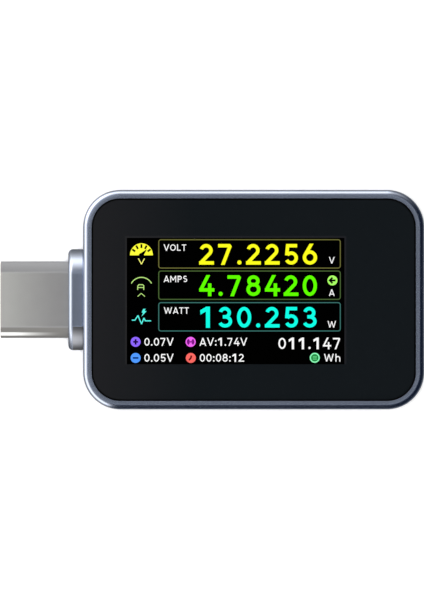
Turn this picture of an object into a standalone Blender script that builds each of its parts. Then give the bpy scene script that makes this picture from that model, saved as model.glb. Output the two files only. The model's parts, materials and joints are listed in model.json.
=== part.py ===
"""USB-C power meter: a pocket meter that plugs in between a port and a cable.

A milled aluminium frame carries a cover glass over a colour display, a back cover held by four
screws, a USB-C plug in a collar on one end, a USB-C socket on the other end, a second USB-C socket
for data on one long side and three push buttons on the other long side.

The frame's origin is the centre of the back face. +X runs from the plug to the socket, +Y towards
the buttons and +Z out of the display. Sizes below are in millimetres, and add_object turns them
into metres.
"""

import math

import bmesh
import bpy
from mathutils import Vector

MM = 0.001
QUARTER_TURN = math.radians(90)
SHARP_ANGLE = math.radians(35)

# Gaps between pieces.
GAP = 0.05  # between pieces that touch on the real meter
OVERSHOOT = 0.5  # how far a cutter runs past the face that it cuts
PANEL_GAP = 0.12  # the joint that shows round the glass and the back cover

# Smoothness of round shapes, in steps for a quarter circle.
CORNER_STEPS = 8
EDGE_STEPS = 3
STADIUM_STEPS = 5
ROUND_STEPS = 4

# The body.
BODY_LENGTH = 36.7
BODY_WIDTH = 23.6
BODY_HEIGHT = 10.0
CORNER_RADIUS = 4.0
FRONT_EDGE = 0.52
BACK_EDGE = 0.5
RIM_WIDTH = 0.93
WALL = 1.6
MID_HEIGHT = BODY_HEIGHT / 2  # the board, both ends and the buttons are centred on it

# The stack behind the front, from the glass down.
GLASS_SINK = 0.05
GLASS_THICKNESS = 0.85
GLASS_EDGE = 0.12
TAPE_THICKNESS = 0.15
TAPE_MARGIN = 0.25
LEDGE_THICKNESS = 0.7
LEDGE_INSET = 3.0
GLASS_TOP = BODY_HEIGHT - GLASS_SINK
GLASS_BOTTOM = GLASS_TOP - GLASS_THICKNESS
TAPE_TOP = GLASS_BOTTOM - GAP
TAPE_BOTTOM = TAPE_TOP - TAPE_THICKNESS
LEDGE_TOP = TAPE_BOTTOM - GAP
LEDGE_BOTTOM = LEDGE_TOP - LEDGE_THICKNESS

# The display, whose picture sits nearer to the plug than to the socket.
PICTURE_LENGTH = 23.46
PICTURE_WIDTH = 13.66
PICTURE_X = -2.0
PICTURE_Y = -0.07
CELL_BORDER_X = 0.8
CELL_BORDER_Y = 0.9
CELL_SHELF = 3.2  # the lower glass runs on here for the driver chip
CELL_TOP = GLASS_BOTTOM - 2 * GAP
CELL_THICKNESS = 0.9
LOWER_GLASS = 0.45
BACKLIGHT_THICKNESS = 0.9
FOAM_THICKNESS = 0.45
FOAM_LENGTH = 18.5
FOAM_WIDTH = 13.6
FOAM_X = -3.75
CELL_LEFT = PICTURE_X - PICTURE_LENGTH / 2 - CELL_BORDER_X
CELL_RIGHT = PICTURE_X + PICTURE_LENGTH / 2 + CELL_BORDER_X + CELL_SHELF
CELL_WIDTH = PICTURE_WIDTH + 2 * CELL_BORDER_Y
CELL_BOTTOM = CELL_TOP - CELL_THICKNESS
BACKLIGHT_TOP = CELL_BOTTOM - GAP
BACKLIGHT_BOTTOM = BACKLIGHT_TOP - BACKLIGHT_THICKNESS
DRIVER_SIZE = (0.9, 9.0, 0.28)
DRIVER_SETBACK = 0.9  # from the upper glass to the chip's middle
FLEX_THICKNESS = 0.12
FLEX_WIDTH = 6.0
FLEX_BEND = 0.8
FLEX_GRIP = 0.7  # how far it lies on the shelf
FLEX_OVERHANG = 0.55  # from the shelf's end to the start of the bend
FLEX_DROP = 0.3  # from the backlight to the lower run
FLEX_RAMP = (0.6, 1.7)  # where it slopes down, measured from the connector
CONNECTOR_SIZE = (2.2, 7.0, 0.9)
CONNECTOR_X = 7.6

# The back cover and its screws.
COVER_THICKNESS = 1.1
COVER_SEAT = 1.2
COVER_EDGE = 0.15
SCREW_INSET = 3.15  # from the body's sides to each screw
SCREW_HEAD_RADIUS = 1.2
SCREW_HEAD_DEPTH = 0.65
SCREW_RADIUS = 0.6
SCREW_LENGTH = 4.6
SCREW_SINK = 0.05
SCREW_HEAD_RIM = 0.1  # the straight part of the head, above its cone
SCREW_TIP = 0.35
RECESS = (1.3, 0.28, 0.4)  # length, width and depth of each arm
BOSS_RADIUS = 1.5
BOSS_TOP = 7.0
SCREW_X = BODY_LENGTH / 2 - SCREW_INSET
SCREW_Y = BODY_WIDTH / 2 - SCREW_INSET

# The main board.
BOARD_THICKNESS = 0.7
BOARD_CLEARANCE = 0.15
BOARD_BUTTON_SIDE = 9.4  # its edge on the button side stays clear of the button flanges
NOTCH_CLEARANCE = 0.15
POST_RADIUS = 1.15
POSTS = ((-10.0, -9.15), (12.0, -9.15))
BOARD_SCREW_RADIUS = 0.5
BOARD_SCREW_HEAD = (0.95, 0.6)
BOARD_SCREW_EDGE = 0.2
BOARD_SCREW_REACH = 2.0  # from the board's top into a post
BOARD_SCREW_RECESS = (1.0, 0.25, 0.3)
BOARD_TOP = MID_HEIGHT + BOARD_THICKNESS / 2
BOARD_BOTTOM = MID_HEIGHT - BOARD_THICKNESS / 2
BOARD_EDGE_X = BODY_LENGTH / 2 - WALL - BOARD_CLEARANCE
BOARD_EDGE_Y = BODY_WIDTH / 2 - WALL - BOARD_CLEARANCE

# The USB-C plug, measured from its tip along +X.
PLUG_WIDTH = 8.25
PLUG_HEIGHT = 2.4
PLUG_WALL = 0.28
PLUG_TIP_EDGE = 0.15
PLUG_REACH = 7.27
COLLAR_WIDTH = 10.89
COLLAR_HEIGHT = 5.45
COLLAR_DEPTH = 1.66
COLLAR_EDGE = 0.42
COLLAR_NECK_STEP = 0.5
PLUG_SHELL_LENGTH = 11.75
PLUG_SLOT = (6.9, 1.2)
PLUG_CONTACT_START = 0.75
PLUG_CONTACT_LENGTH = 6.25
PLUG_TAIL_END = 12.9
INSERT_SINK = (0.25, 0.15)  # from the shell's tip and from its back
LATCH_THICKNESS = 0.15
LATCH_HEIGHT = 0.3
LATCH_TIP = 1.5
LATCH_HOOK = 0.35
LATCH_BASE = 0.5  # from the contacts' roots to the bridge that joins the two arms
PLUG_X = -BODY_LENGTH / 2 - COLLAR_DEPTH - PLUG_REACH

# The two USB-C sockets, each measured back from its mouth.
SOCKET_WIDTH = 8.94
SOCKET_HEIGHT = 3.16
SOCKET_WALL = 0.3
SOCKET_DEPTH = 7.35
SOCKET_SINK = 0.15
SOCKET_LIP = 0.08
SOCKET_BASE = 2.1
TONGUE_WIDTH = 6.69
TONGUE_THICKNESS = 0.7
TONGUE_SINK = 1.0
TONGUE_EDGE = 0.2
TONGUE_ROOT = (0.65, 6.2, 1.3)
TONGUE_OVERLAP = 0.3  # how far the root and the blade run into the base
SOCKET_TAIL = 0.75
SOCKET_CONTACT_SETBACK = 0.3  # from the blade's tip to the contacts' tips
HOLE_CLEARANCE = 0.08
DATA_PORT_X = 4.0

# Contact rows of plug and sockets.
CONTACT_COUNT = 12
CONTACT_PITCH = 0.5
CONTACT_WIDTH = 0.25
PLUG_CONTACT_LEVEL = 0.45
PLUG_CONTACT_THICKNESS = 0.12
SOCKET_CONTACT_LEVEL = 0.4
SOCKET_CONTACT_THICKNESS = 0.06

# Solder legs of the steel shells.
LEG_LENGTH = 0.9
LEG_REACH = 1.15
LEG_ROOT = 0.2  # how far each leg runs into the shell's wall
LEG_THICKNESS = 0.15
LEG_SETBACK = (0.1, 0.6)  # from the back of the plug's shell, and of a socket's

# The buttons and the switches behind them, measured from the outer wall inwards.
BUTTON_SPACING = 7.0
BUTTON_LENGTH = 4.4
BUTTON_HEIGHT = 1.8
BUTTON_SINK = 0.05
BUTTON_EDGE = 0.2
FLANGE_GROWTH = 0.4
FLANGE_THICKNESS = 0.4
BUTTON_TRAVEL = 0.25
PLUNGER_SIZE = (1.4, 0.9, 0.7)
SWITCH_SIZE = (3.6, 2.0, 1.4)
SWITCH_FRONT = 2.5
PLUNGER_CLEARANCE = 0.1
POCKET_SPARE = 0.15  # what is left behind the plunger at the end of its travel
FLANGE_OUTER = WALL + GAP
FLANGE_INNER = FLANGE_OUTER + FLANGE_THICKNESS
PLUNGER_OUTER = FLANGE_INNER + GAP
POCKET_END = PLUNGER_OUTER + PLUNGER_SIZE[1] + BUTTON_TRAVEL + POCKET_SPARE

# Parts on the board: name, size, place, and the face that they stand on.
BOARD_PARTS = (
    ("mcu_chip", (5.0, 5.0, 0.8), (-6.5, 1.5), "top"),
    ("meter_chip", (3.0, 3.0, 0.75), (0.0, 3.0), "top"),
    ("flash_chip", (2.0, 3.0, 0.6), (-11.5, 3.0), "top"),
    ("crystal", (3.2, 2.5, 0.7), (-6.5, -4.0), "top"),
    ("power_mosfet_1", (3.3, 3.3, 0.8), (-1.5, 3.5), "bottom"),
    ("power_mosfet_2", (3.3, 3.3, 0.8), (-1.5, -1.0), "bottom"),
    ("inductor", (4.0, 4.0, 2.0), (7.0, 2.5), "bottom"),
    ("regulator_chip", (1.6, 2.9, 1.0), (3.2, 2.5), "bottom"),
    ("shunt_resistor", (6.3, 3.2, 0.7), (-8.0, 0.0), "bottom"),
    ("capacitor_1", (1.6, 0.8, 0.8), (-12.0, -4.5), "bottom"),
    ("capacitor_2", (1.6, 0.8, 0.8), (-12.0, -6.0), "bottom"),
    ("capacitor_3", (2.0, 1.25, 1.2), (-4.5, -5.5), "bottom"),
    ("capacitor_4", (2.0, 1.25, 1.2), (-7.5, -5.5), "bottom"),
)
CHIP_EDGE = 0.08
THERMAL_PAD = (6.6, 4.2)


def make_material(name, colour, roughness, metallic):
    material = bpy.data.materials.new(name)
    material.use_nodes = True
    shader = material.node_tree.nodes["Principled BSDF"]
    shader.inputs["Base Color"].default_value = (*colour, 1.0)
    shader.inputs["Roughness"].default_value = roughness
    shader.inputs["Metallic"].default_value = metallic
    return material


def make_materials():
    """Every material of the meter, by name."""
    recipes = {
        "blue_grey_aluminium": ((0.13, 0.15, 0.20), 0.35, 1.0),
        "black_glass": ((0.01, 0.012, 0.014), 0.06, 0.0),
        "display_glass": ((0.004, 0.004, 0.005), 0.1, 0.0),
        "white_reflector": ((0.8, 0.8, 0.8), 0.5, 0.0),
        "satin_steel": ((0.46, 0.46, 0.45), 0.3, 1.0),
        "dark_steel": ((0.1, 0.1, 0.11), 0.4, 1.0),
        "gold_contact": ((0.83, 0.6, 0.25), 0.25, 1.0),
        "black_plastic": ((0.012, 0.012, 0.013), 0.5, 0.0),
        "black_foam": ((0.02, 0.02, 0.02), 0.9, 0.0),
        "board_laminate": ((0.01, 0.05, 0.03), 0.4, 0.0),
        "amber_film": ((0.5, 0.22, 0.04), 0.35, 0.0),
        "chip_epoxy": ((0.02, 0.02, 0.022), 0.55, 0.0),
        "ceramic": ((0.35, 0.26, 0.18), 0.5, 0.0),
        "grey_silicone": ((0.3, 0.32, 0.35), 0.7, 0.0),
    }
    return {name: make_material(name, *recipe) for name, recipe in recipes.items()}


def add_object(name, shape, material, at=(0, 0, 0), parent=None):
    """Turns a bmesh in millimetres into an object in metres, placed relative to its parent."""
    bmesh.ops.recalc_face_normals(shape, faces=shape.faces)
    bmesh.ops.scale(shape, vec=(MM, MM, MM), verts=shape.verts)
    mesh = bpy.data.meshes.new(name)
    shape.to_mesh(mesh)
    shape.free()
    mesh.shade_smooth()
    mesh.set_sharp_from_angle(angle=SHARP_ANGLE)
    if material:
        mesh.materials.append(material)
    made = bpy.data.objects.new(name, mesh)
    made.location = Vector(at) * MM
    made.parent = parent
    bpy.context.collection.objects.link(made)
    return made


def add_anchor(name, at, turn=0.0):
    """An empty that carries the pieces of one assembly, turned about Z."""
    anchor = bpy.data.objects.new(name, None)
    anchor.location = Vector(at) * MM
    anchor.rotation_euler.z = turn
    anchor.empty_display_size = 2 * MM
    bpy.context.collection.objects.link(anchor)
    return anchor


def combine(target, tool, operation):
    """Cuts or joins a helper shape with a Boolean, and keeps the helper out of the model."""
    tool.hide_render = True
    tool.display_type = "WIRE"
    modifier = target.modifiers.new(tool.name, "BOOLEAN")
    modifier.operation = operation
    modifier.object = tool


def rounded_rectangle(length, width, radius, steps=CORNER_STEPS):
    """Outline points, anticlockwise, with arcs for corners; a stadium where radius is half the width."""
    points = []
    for corner, (side_u, side_v) in enumerate(((1, 1), (-1, 1), (-1, -1), (1, -1))):
        centre = Vector((side_u * (length / 2 - radius), side_v * (width / 2 - radius)))
        for step in range(steps + 1):
            angle = QUARTER_TURN * (corner + step / steps)
            point = centre + radius * Vector((math.cos(angle), math.sin(angle)))
            if not points or (point - points[-1]).length > 1e-6:
                points.append(point)
    if (points[0] - points[-1]).length < 1e-6:
        points.pop()
    return points


def stadium(length, width, inset=0.0):
    """Outline with half-round ends, drawn in by inset all round."""
    return rounded_rectangle(
        length - 2 * inset, width - 2 * inset, width / 2 - inset, STADIUM_STEPS
    )


def section(outline, along, level):
    """An outline stood square to the axis named by along, at that level."""
    if along == "X":
        return [Vector((level, u, v)) for u, v in outline]
    if along == "Y":
        return [Vector((u, level, v)) for u, v in outline]
    return [Vector((u, v, level)) for u, v in outline]


def skin(sections, ring=False):
    """A closed shape through sections of equal point count; a ring joins the last to the first."""
    shape = bmesh.new()
    loops = [[shape.verts.new(point) for point in points] for points in sections]
    pairs = list(zip(loops, loops[1:]))
    if ring:
        pairs.append((loops[-1], loops[0]))
    else:
        shape.faces.new(loops[0])
        shape.faces.new(loops[-1])
    for lower, upper in pairs:
        for i, corner in enumerate(lower):
            following = (i + 1) % len(lower)
            shape.faces.new((corner, lower[following], upper[following], upper[i]))
    return shape


def prism(outline, along, low, high):
    """An outline extruded along one axis."""
    shape = bmesh.new()
    face = shape.faces.new([shape.verts.new(p) for p in section(outline, along, low)])
    raised = bmesh.ops.extrude_face_region(shape, geom=[face])["geom"]
    moved = [item for item in raised if isinstance(item, bmesh.types.BMVert)]
    span = section([(0, 0)], along, high - low)[0]
    bmesh.ops.translate(shape, vec=span, verts=moved)
    return shape


def box(low, high):
    """A box between two corners."""
    outline = [(low[0], low[1]), (high[0], low[1]), (high[0], high[1]), (low[0], high[1])]
    return prism(outline, "Z", low[2], high[2])


def centred_box(size, low_z=0.0):
    """A box centred on X and Y that stands at low_z."""
    x, y, z = size
    return box((-x / 2, -y / 2, low_z), (x / 2, y / 2, low_z + z))


def turned(profile, steps=ROUND_STEPS):
    """A solid of revolution about Z from (radius, height) points, closed at both ends."""
    circles = []
    for radius, height in profile:
        circle = rounded_rectangle(2 * radius, 2 * radius, radius, steps)
        circles.append(section(circle, "Z", height))
    return skin(circles)


def body_outline(inset):
    """The body's outline, drawn in by inset all round."""
    return rounded_rectangle(
        BODY_LENGTH - 2 * inset, BODY_WIDTH - 2 * inset, CORNER_RADIUS - inset
    )


def body_sections(profile):
    """Body outlines at the (inset, height) points of a cross-section."""
    return [section(body_outline(inset), "Z", height) for inset, height in profile]


def round_edge(radius, height, outward, steps=EDGE_STEPS):
    """(inset, height) points of a round outer edge; outward is 1 on the front and -1 on the back."""
    points = []
    for step in range(steps + 1):
        angle = QUARTER_TURN * step / steps
        rise = radius * (1 - math.sin(angle))
        points.append((radius * (1 - math.cos(angle)), height - outward * rise))
    return points


def screw_places():
    return [(sx * SCREW_X, sy * SCREW_Y) for sx, sy in ((-1, -1), (1, -1), (1, 1), (-1, 1))]


def build_frame(materials, plug, sockets, buttons):
    """The milled frame: walls, both rims, the ledge under the glass, bosses, posts and openings."""
    front = round_edge(FRONT_EDGE, BODY_HEIGHT, 1)
    back = round_edge(BACK_EDGE, 0.0, -1)
    inside = [
        (RIM_WIDTH, BODY_HEIGHT),
        (RIM_WIDTH, LEDGE_TOP),
        (LEDGE_INSET, LEDGE_TOP),
        (LEDGE_INSET, LEDGE_BOTTOM),
        (WALL, LEDGE_BOTTOM),
        (WALL, COVER_SEAT),
        (RIM_WIDTH, COVER_SEAT),
        (RIM_WIDTH, 0.0),
    ]
    sections = body_sections(front + inside + back[::-1])
    frame = add_object("housing_frame", skin(sections, ring=True), materials["blue_grey_aluminium"])
    boss_bottom = COVER_SEAT + GAP
    boss = [(BOSS_RADIUS, boss_bottom), (BOSS_RADIUS, BOSS_TOP)]
    thread_radius = SCREW_RADIUS + GAP
    thread = [(thread_radius, 0.0), (thread_radius, SCREW_LENGTH + OVERSHOOT)]
    for number, (x, y) in enumerate(screw_places(), 1):
        combine(frame, add_object(f"join_boss_{number}", turned(boss), None, (x, y, 0)), "UNION")
        combine(frame, add_object(f"cut_boss_{number}", turned(thread), None, (x, y, 0)), "DIFFERENCE")
    post_bottom = BOARD_TOP + GAP
    post_top = (LEDGE_BOTTOM + LEDGE_TOP) / 2
    hole_top = BOARD_TOP + BOARD_SCREW_REACH + GAP
    post = [(POST_RADIUS, post_bottom), (POST_RADIUS, post_top)]
    hole = [(BOARD_SCREW_RADIUS + GAP, 0.0), (BOARD_SCREW_RADIUS + GAP, hole_top)]
    for number, (x, y) in enumerate(POSTS, 1):
        combine(frame, add_object(f"join_post_{number}", turned(post), None, (x, y, 0)), "UNION")
        combine(frame, add_object(f"cut_post_{number}", turned(hole), None, (x, y, 0)), "DIFFERENCE")
    neck = stadium(COLLAR_WIDTH, COLLAR_HEIGHT, COLLAR_NECK_STEP - GAP)
    wall_start = PLUG_REACH + COLLAR_DEPTH
    cutter = prism(neck, "X", wall_start - OVERSHOOT, wall_start + WALL + OVERSHOOT)
    combine(frame, add_object("cut_plug_hole", cutter, None, parent=plug), "DIFFERENCE")
    mouth = stadium(SOCKET_WIDTH, SOCKET_HEIGHT, -HOLE_CLEARANCE)
    for anchor in sockets:
        cutter = prism(mouth, "X", -WALL - OVERSHOOT, OVERSHOOT)
        combine(frame, add_object(f"cut_{anchor.name}", cutter, None, parent=anchor), "DIFFERENCE")
    key_hole = stadium(BUTTON_LENGTH, BUTTON_HEIGHT, -GAP)
    for anchor in buttons:
        cutter = prism(key_hole, "Y", -WALL - OVERSHOOT, OVERSHOOT)
        combine(frame, add_object(f"cut_{anchor.name}", cutter, None, parent=anchor), "DIFFERENCE")


def build_glass(materials):
    """The cover glass with its ground edge, and the tape that bonds it to the ledge."""
    edge = RIM_WIDTH + PANEL_GAP
    profile = [
        (edge, GLASS_BOTTOM),
        (edge, GLASS_TOP - GLASS_EDGE),
        (edge + GLASS_EDGE, GLASS_TOP),
    ]
    add_object("cover_glass", skin(body_sections(profile)), materials["black_glass"])
    outer, inner = edge + TAPE_MARGIN, LEDGE_INSET - TAPE_MARGIN
    ring = [(outer, TAPE_BOTTOM), (outer, TAPE_TOP), (inner, TAPE_TOP), (inner, TAPE_BOTTOM)]
    add_object("glass_tape", skin(body_sections(ring), ring=True), materials["black_foam"])


def build_display(materials):
    """The display: glass cell, driver chip, backlight, foam, and the flex that folds to the board."""
    length = CELL_RIGHT - CELL_LEFT
    middle = (CELL_LEFT + CELL_RIGHT) / 2
    upper_right = CELL_RIGHT - CELL_SHELF
    step = CELL_BOTTOM + LOWER_GLASS
    side = [
        (CELL_LEFT, CELL_BOTTOM),
        (CELL_RIGHT, CELL_BOTTOM),
        (CELL_RIGHT, step),
        (upper_right, step),
        (upper_right, CELL_TOP),
        (CELL_LEFT, CELL_TOP),
    ]
    cell = prism(side, "Y", -CELL_WIDTH / 2, CELL_WIDTH / 2)
    add_object("display_cell", cell, materials["display_glass"], (0, PICTURE_Y, 0))
    driver_x = upper_right + DRIVER_SETBACK
    driver = centred_box(DRIVER_SIZE, step + GAP)
    add_object("display_driver_chip", driver, materials["chip_epoxy"], (driver_x, PICTURE_Y, 0))
    tray = centred_box((length, CELL_WIDTH, BACKLIGHT_THICKNESS), BACKLIGHT_BOTTOM)
    add_object("display_backlight", tray, materials["white_reflector"], (middle, PICTURE_Y, 0))
    foam_bottom = BACKLIGHT_BOTTOM - GAP - FOAM_THICKNESS
    foam = centred_box((FOAM_LENGTH, FOAM_WIDTH, FOAM_THICKNESS), foam_bottom)
    add_object("foam_pad", foam, materials["black_foam"], (FOAM_X, PICTURE_Y, 0))
    connector = centred_box(CONNECTOR_SIZE, BOARD_TOP + GAP)
    add_object("flex_connector", connector, materials["black_plastic"], (CONNECTOR_X, 0, 0))
    flex = prism(flex_outline(step), "Y", -FLEX_WIDTH / 2, FLEX_WIDTH / 2)
    add_object("display_flex", flex, materials["amber_film"])


def flex_outline(shelf):
    """Side view of the flex: off the cell's shelf, down in a U bend, and back to its connector."""
    top = shelf + GAP + FLEX_THICKNESS / 2
    low = BACKLIGHT_BOTTOM - FLEX_DROP
    bend_x = CELL_RIGHT + FLEX_OVERHANG
    end_x = CONNECTOR_X + CONNECTOR_SIZE[0] / 2 + GAP
    end_z = BOARD_TOP + GAP + CONNECTOR_SIZE[2] / 2
    ramp_end, ramp_start = FLEX_RAMP
    line = [Vector((CELL_RIGHT - FLEX_GRIP, top))]
    for centre_z, first in ((top - FLEX_BEND, 1), (low + FLEX_BEND, 0)):
        for step in range(ROUND_STEPS + 1):
            angle = QUARTER_TURN * (first - step / ROUND_STEPS)
            spoke = FLEX_BEND * Vector((math.cos(angle), math.sin(angle)))
            line.append(Vector((bend_x, centre_z)) + spoke)
    line.append(Vector((end_x + ramp_start, low)))
    line.append(Vector((end_x + ramp_end, end_z)))
    line.append(Vector((end_x, end_z)))
    return ribbon(line, FLEX_THICKNESS)


def ribbon(line, thickness):
    """The outline of a strip of even thickness that follows a line of points."""
    left, right = [], []
    for i, point in enumerate(line):
        before = (point - line[i - 1]).normalized() if i else None
        after = (line[i + 1] - point).normalized() if i + 1 < len(line) else None
        along = ((before or after) + (after or before)).normalized()
        stretch = 1 / along.dot(before or after)
        across = Vector((-along.y, along.x)) * stretch * thickness / 2
        left.append(point + across)
        right.append(point - across)
    return left + right[::-1]


def build_back_cover(materials):
    """The back cover with its countersunk holes."""
    edge = RIM_WIDTH + PANEL_GAP
    profile = [(edge + COVER_EDGE, 0.0), (edge, COVER_EDGE), (edge, COVER_THICKNESS)]
    cover = add_object("back_cover", skin(body_sections(profile)), materials["blue_grey_aluminium"])
    countersink = [
        (SCREW_HEAD_RADIUS + GAP, -OVERSHOOT),
        (SCREW_HEAD_RADIUS + GAP, SCREW_SINK + GAP + SCREW_HEAD_RIM),
        (SCREW_RADIUS + 2 * GAP, SCREW_SINK + GAP + SCREW_HEAD_DEPTH),
        (SCREW_RADIUS + 2 * GAP, COVER_THICKNESS + OVERSHOOT),
    ]
    for number, (x, y) in enumerate(screw_places(), 1):
        tool = add_object(f"cut_countersink_{number}", turned(countersink), None, (x, y, 0))
        combine(cover, tool, "DIFFERENCE")


def build_back_screws(materials):
    """Four countersunk screws with cross recesses."""
    profile = [
        (SCREW_HEAD_RADIUS, SCREW_SINK),
        (SCREW_HEAD_RADIUS, SCREW_SINK + SCREW_HEAD_RIM),
        (SCREW_RADIUS, SCREW_SINK + SCREW_HEAD_DEPTH),
        (SCREW_RADIUS, SCREW_LENGTH - SCREW_TIP),
        (SCREW_RADIUS - SCREW_TIP, SCREW_LENGTH),
    ]
    for number, (x, y) in enumerate(screw_places(), 1):
        screw = add_object(f"back_screw_{number}", turned(profile), materials["dark_steel"], (x, y, 0))
        cut_cross(screw, (x, y, SCREW_SINK), RECESS)


def cut_cross(screw, at, recess):
    """A cross recess cut upwards into a screw head whose face looks down at that place."""
    length, width, depth = recess
    for name, size in (("x", (length, width)), ("y", (width, length))):
        arm = centred_box((*size, depth + OVERSHOOT), -OVERSHOOT)
        combine(screw, add_object(f"cut_{screw.name}_{name}", arm, None, at), "DIFFERENCE")


def build_board(materials, plug, sockets, buttons):
    """The main board, notched round the bosses, the connectors and the switches."""
    width = BOARD_EDGE_Y + BOARD_BUTTON_SIDE
    middle = (BOARD_BUTTON_SIDE - BOARD_EDGE_Y) / 2
    radius = CORNER_RADIUS - WALL - BOARD_CLEARANCE
    outline = rounded_rectangle(2 * BOARD_EDGE_X, width, radius)
    plate = prism(outline, "Z", BOARD_BOTTOM, BOARD_TOP)
    board = add_object("main_board", plate, materials["board_laminate"], (0, middle, 0))
    low, high = -BOARD_THICKNESS, BOARD_THICKNESS
    round_notch = [(BOSS_RADIUS + NOTCH_CLEARANCE, low), (BOSS_RADIUS + NOTCH_CLEARANCE, high)]
    for number, (x, y) in enumerate(screw_places(), 1):
        tool = add_object(f"cut_board_corner_{number}", turned(round_notch), None, (x, y, MID_HEIGHT))
        combine(board, tool, "DIFFERENCE")
    hole = [(BOARD_SCREW_RADIUS + 2 * GAP, low), (BOARD_SCREW_RADIUS + 2 * GAP, high)]
    for number, (x, y) in enumerate(POSTS, 1):
        tool = add_object(f"cut_board_hole_{number}", turned(hole), None, (x, y, MID_HEIGHT))
        combine(board, tool, "DIFFERENCE")
    half = PLUG_WIDTH / 2 + NOTCH_CLEARANCE
    end = PLUG_SHELL_LENGTH + NOTCH_CLEARANCE
    tool = add_object("cut_board_plug", box((0, -half, low), (end, half, high)), None, parent=plug)
    combine(board, tool, "DIFFERENCE")
    half = SOCKET_WIDTH / 2 + NOTCH_CLEARANCE
    end = SOCKET_DEPTH + NOTCH_CLEARANCE
    for anchor in sockets:
        notch = box((-end, -half, low), (OVERSHOOT, half, high))
        tool = add_object(f"cut_board_{anchor.name}", notch, None, parent=anchor)
        combine(board, tool, "DIFFERENCE")
    half = SWITCH_SIZE[0] / 2 + NOTCH_CLEARANCE
    end = SWITCH_FRONT + SWITCH_SIZE[1] + NOTCH_CLEARANCE
    for anchor in buttons:
        notch = box((-half, -end, low), (half, 0, high))
        tool = add_object(f"cut_board_{anchor.name}", notch, None, parent=anchor)
        combine(board, tool, "DIFFERENCE")


def build_board_screws(materials):
    """Two screws that hold the board to the frame's posts from behind."""
    head_radius, head_height = BOARD_SCREW_HEAD
    head_top = BOARD_BOTTOM - GAP
    head_bottom = head_top - head_height
    profile = [
        (head_radius - BOARD_SCREW_EDGE, head_bottom),
        (head_radius, head_bottom + BOARD_SCREW_EDGE),
        (head_radius, head_top),
        (BOARD_SCREW_RADIUS, head_top),
        (BOARD_SCREW_RADIUS, BOARD_TOP + BOARD_SCREW_REACH),
    ]
    for number, (x, y) in enumerate(POSTS, 1):
        screw = add_object(f"board_screw_{number}", turned(profile), materials["satin_steel"], (x, y, 0))
        cut_cross(screw, (x, y, head_bottom), BOARD_SCREW_RECESS)


def build_board_parts(materials):
    """Chips and other parts soldered to either face of the board, and the pad that cools the shunt."""
    looks = {"crystal": "satin_steel", "inductor": "chip_epoxy", "shunt_resistor": "satin_steel"}
    for name, size, (x, y), face in BOARD_PARTS:
        low = BOARD_TOP + GAP if face == "top" else BOARD_BOTTOM - GAP - size[2]
        look = "ceramic" if name.startswith("capacitor") else looks.get(name, "chip_epoxy")
        part = add_object(name, centred_box(size, low), materials[look], (x, y, 0))
        edges = part.modifiers.new("edges", "BEVEL")
        edges.width = CHIP_EDGE * MM
        edges.segments = 1
        if name == "shunt_resistor":
            pad = (*THERMAL_PAD, low - COVER_THICKNESS - 2 * GAP)
            shape = centred_box(pad, COVER_THICKNESS + GAP)
            add_object("thermal_pad", shape, materials["grey_silicone"], (x, y, 0))


def tube(length, width, wall, mouth, back, lip):
    """A stadium tube along X from its mouth to its back; lip rounds the mouth's outer edge."""
    inward = math.copysign(1, back - mouth)
    sections = [
        section(stadium(length, width, wall), "X", back),
        section(stadium(length, width, wall), "X", mouth + inward * lip / 2),
        section(stadium(length, width, wall - lip / 2), "X", mouth),
        section(stadium(length, width, lip), "X", mouth),
        section(stadium(length, width, lip * 0.3), "X", mouth + inward * lip * 0.3),
        section(stadium(length, width), "X", mouth + inward * lip),
        section(stadium(length, width), "X", back),
    ]
    return skin(sections, ring=True)


def add_legs(shell, half_width, start):
    """Solder legs on both sides of a steel shell, resting on the board."""
    low = BOARD_THICKNESS / 2 + GAP
    for number, side in enumerate((-1, 1), 1):
        ends = sorted((side * (half_width - LEG_ROOT), side * (half_width + LEG_REACH)))
        leg = box((start, ends[0], low), (start + LEG_LENGTH, ends[1], low + LEG_THICKNESS))
        tool = add_object(f"join_{shell.name}_leg_{number}", leg, None, parent=shell.parent)
        combine(shell, tool, "UNION")


def contact_row(tine_tip, tine_root, carrier_end, tail_end, level, thickness):
    """One row of contacts as a single comb along X: tines, carrier and solder tails."""
    tines, tails = [], []
    for number in range(CONTACT_COUNT):
        middle = (number - (CONTACT_COUNT - 1) / 2) * CONTACT_PITCH
        low, high = middle - CONTACT_WIDTH / 2, middle + CONTACT_WIDTH / 2
        tines += [(tine_root, low), (tine_tip, low), (tine_tip, high), (tine_root, high)]
        tails += [(carrier_end, low), (tail_end, low), (tail_end, high), (carrier_end, high)]
    return prism(tines + tails[::-1], "Z", level, level + thickness)


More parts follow.
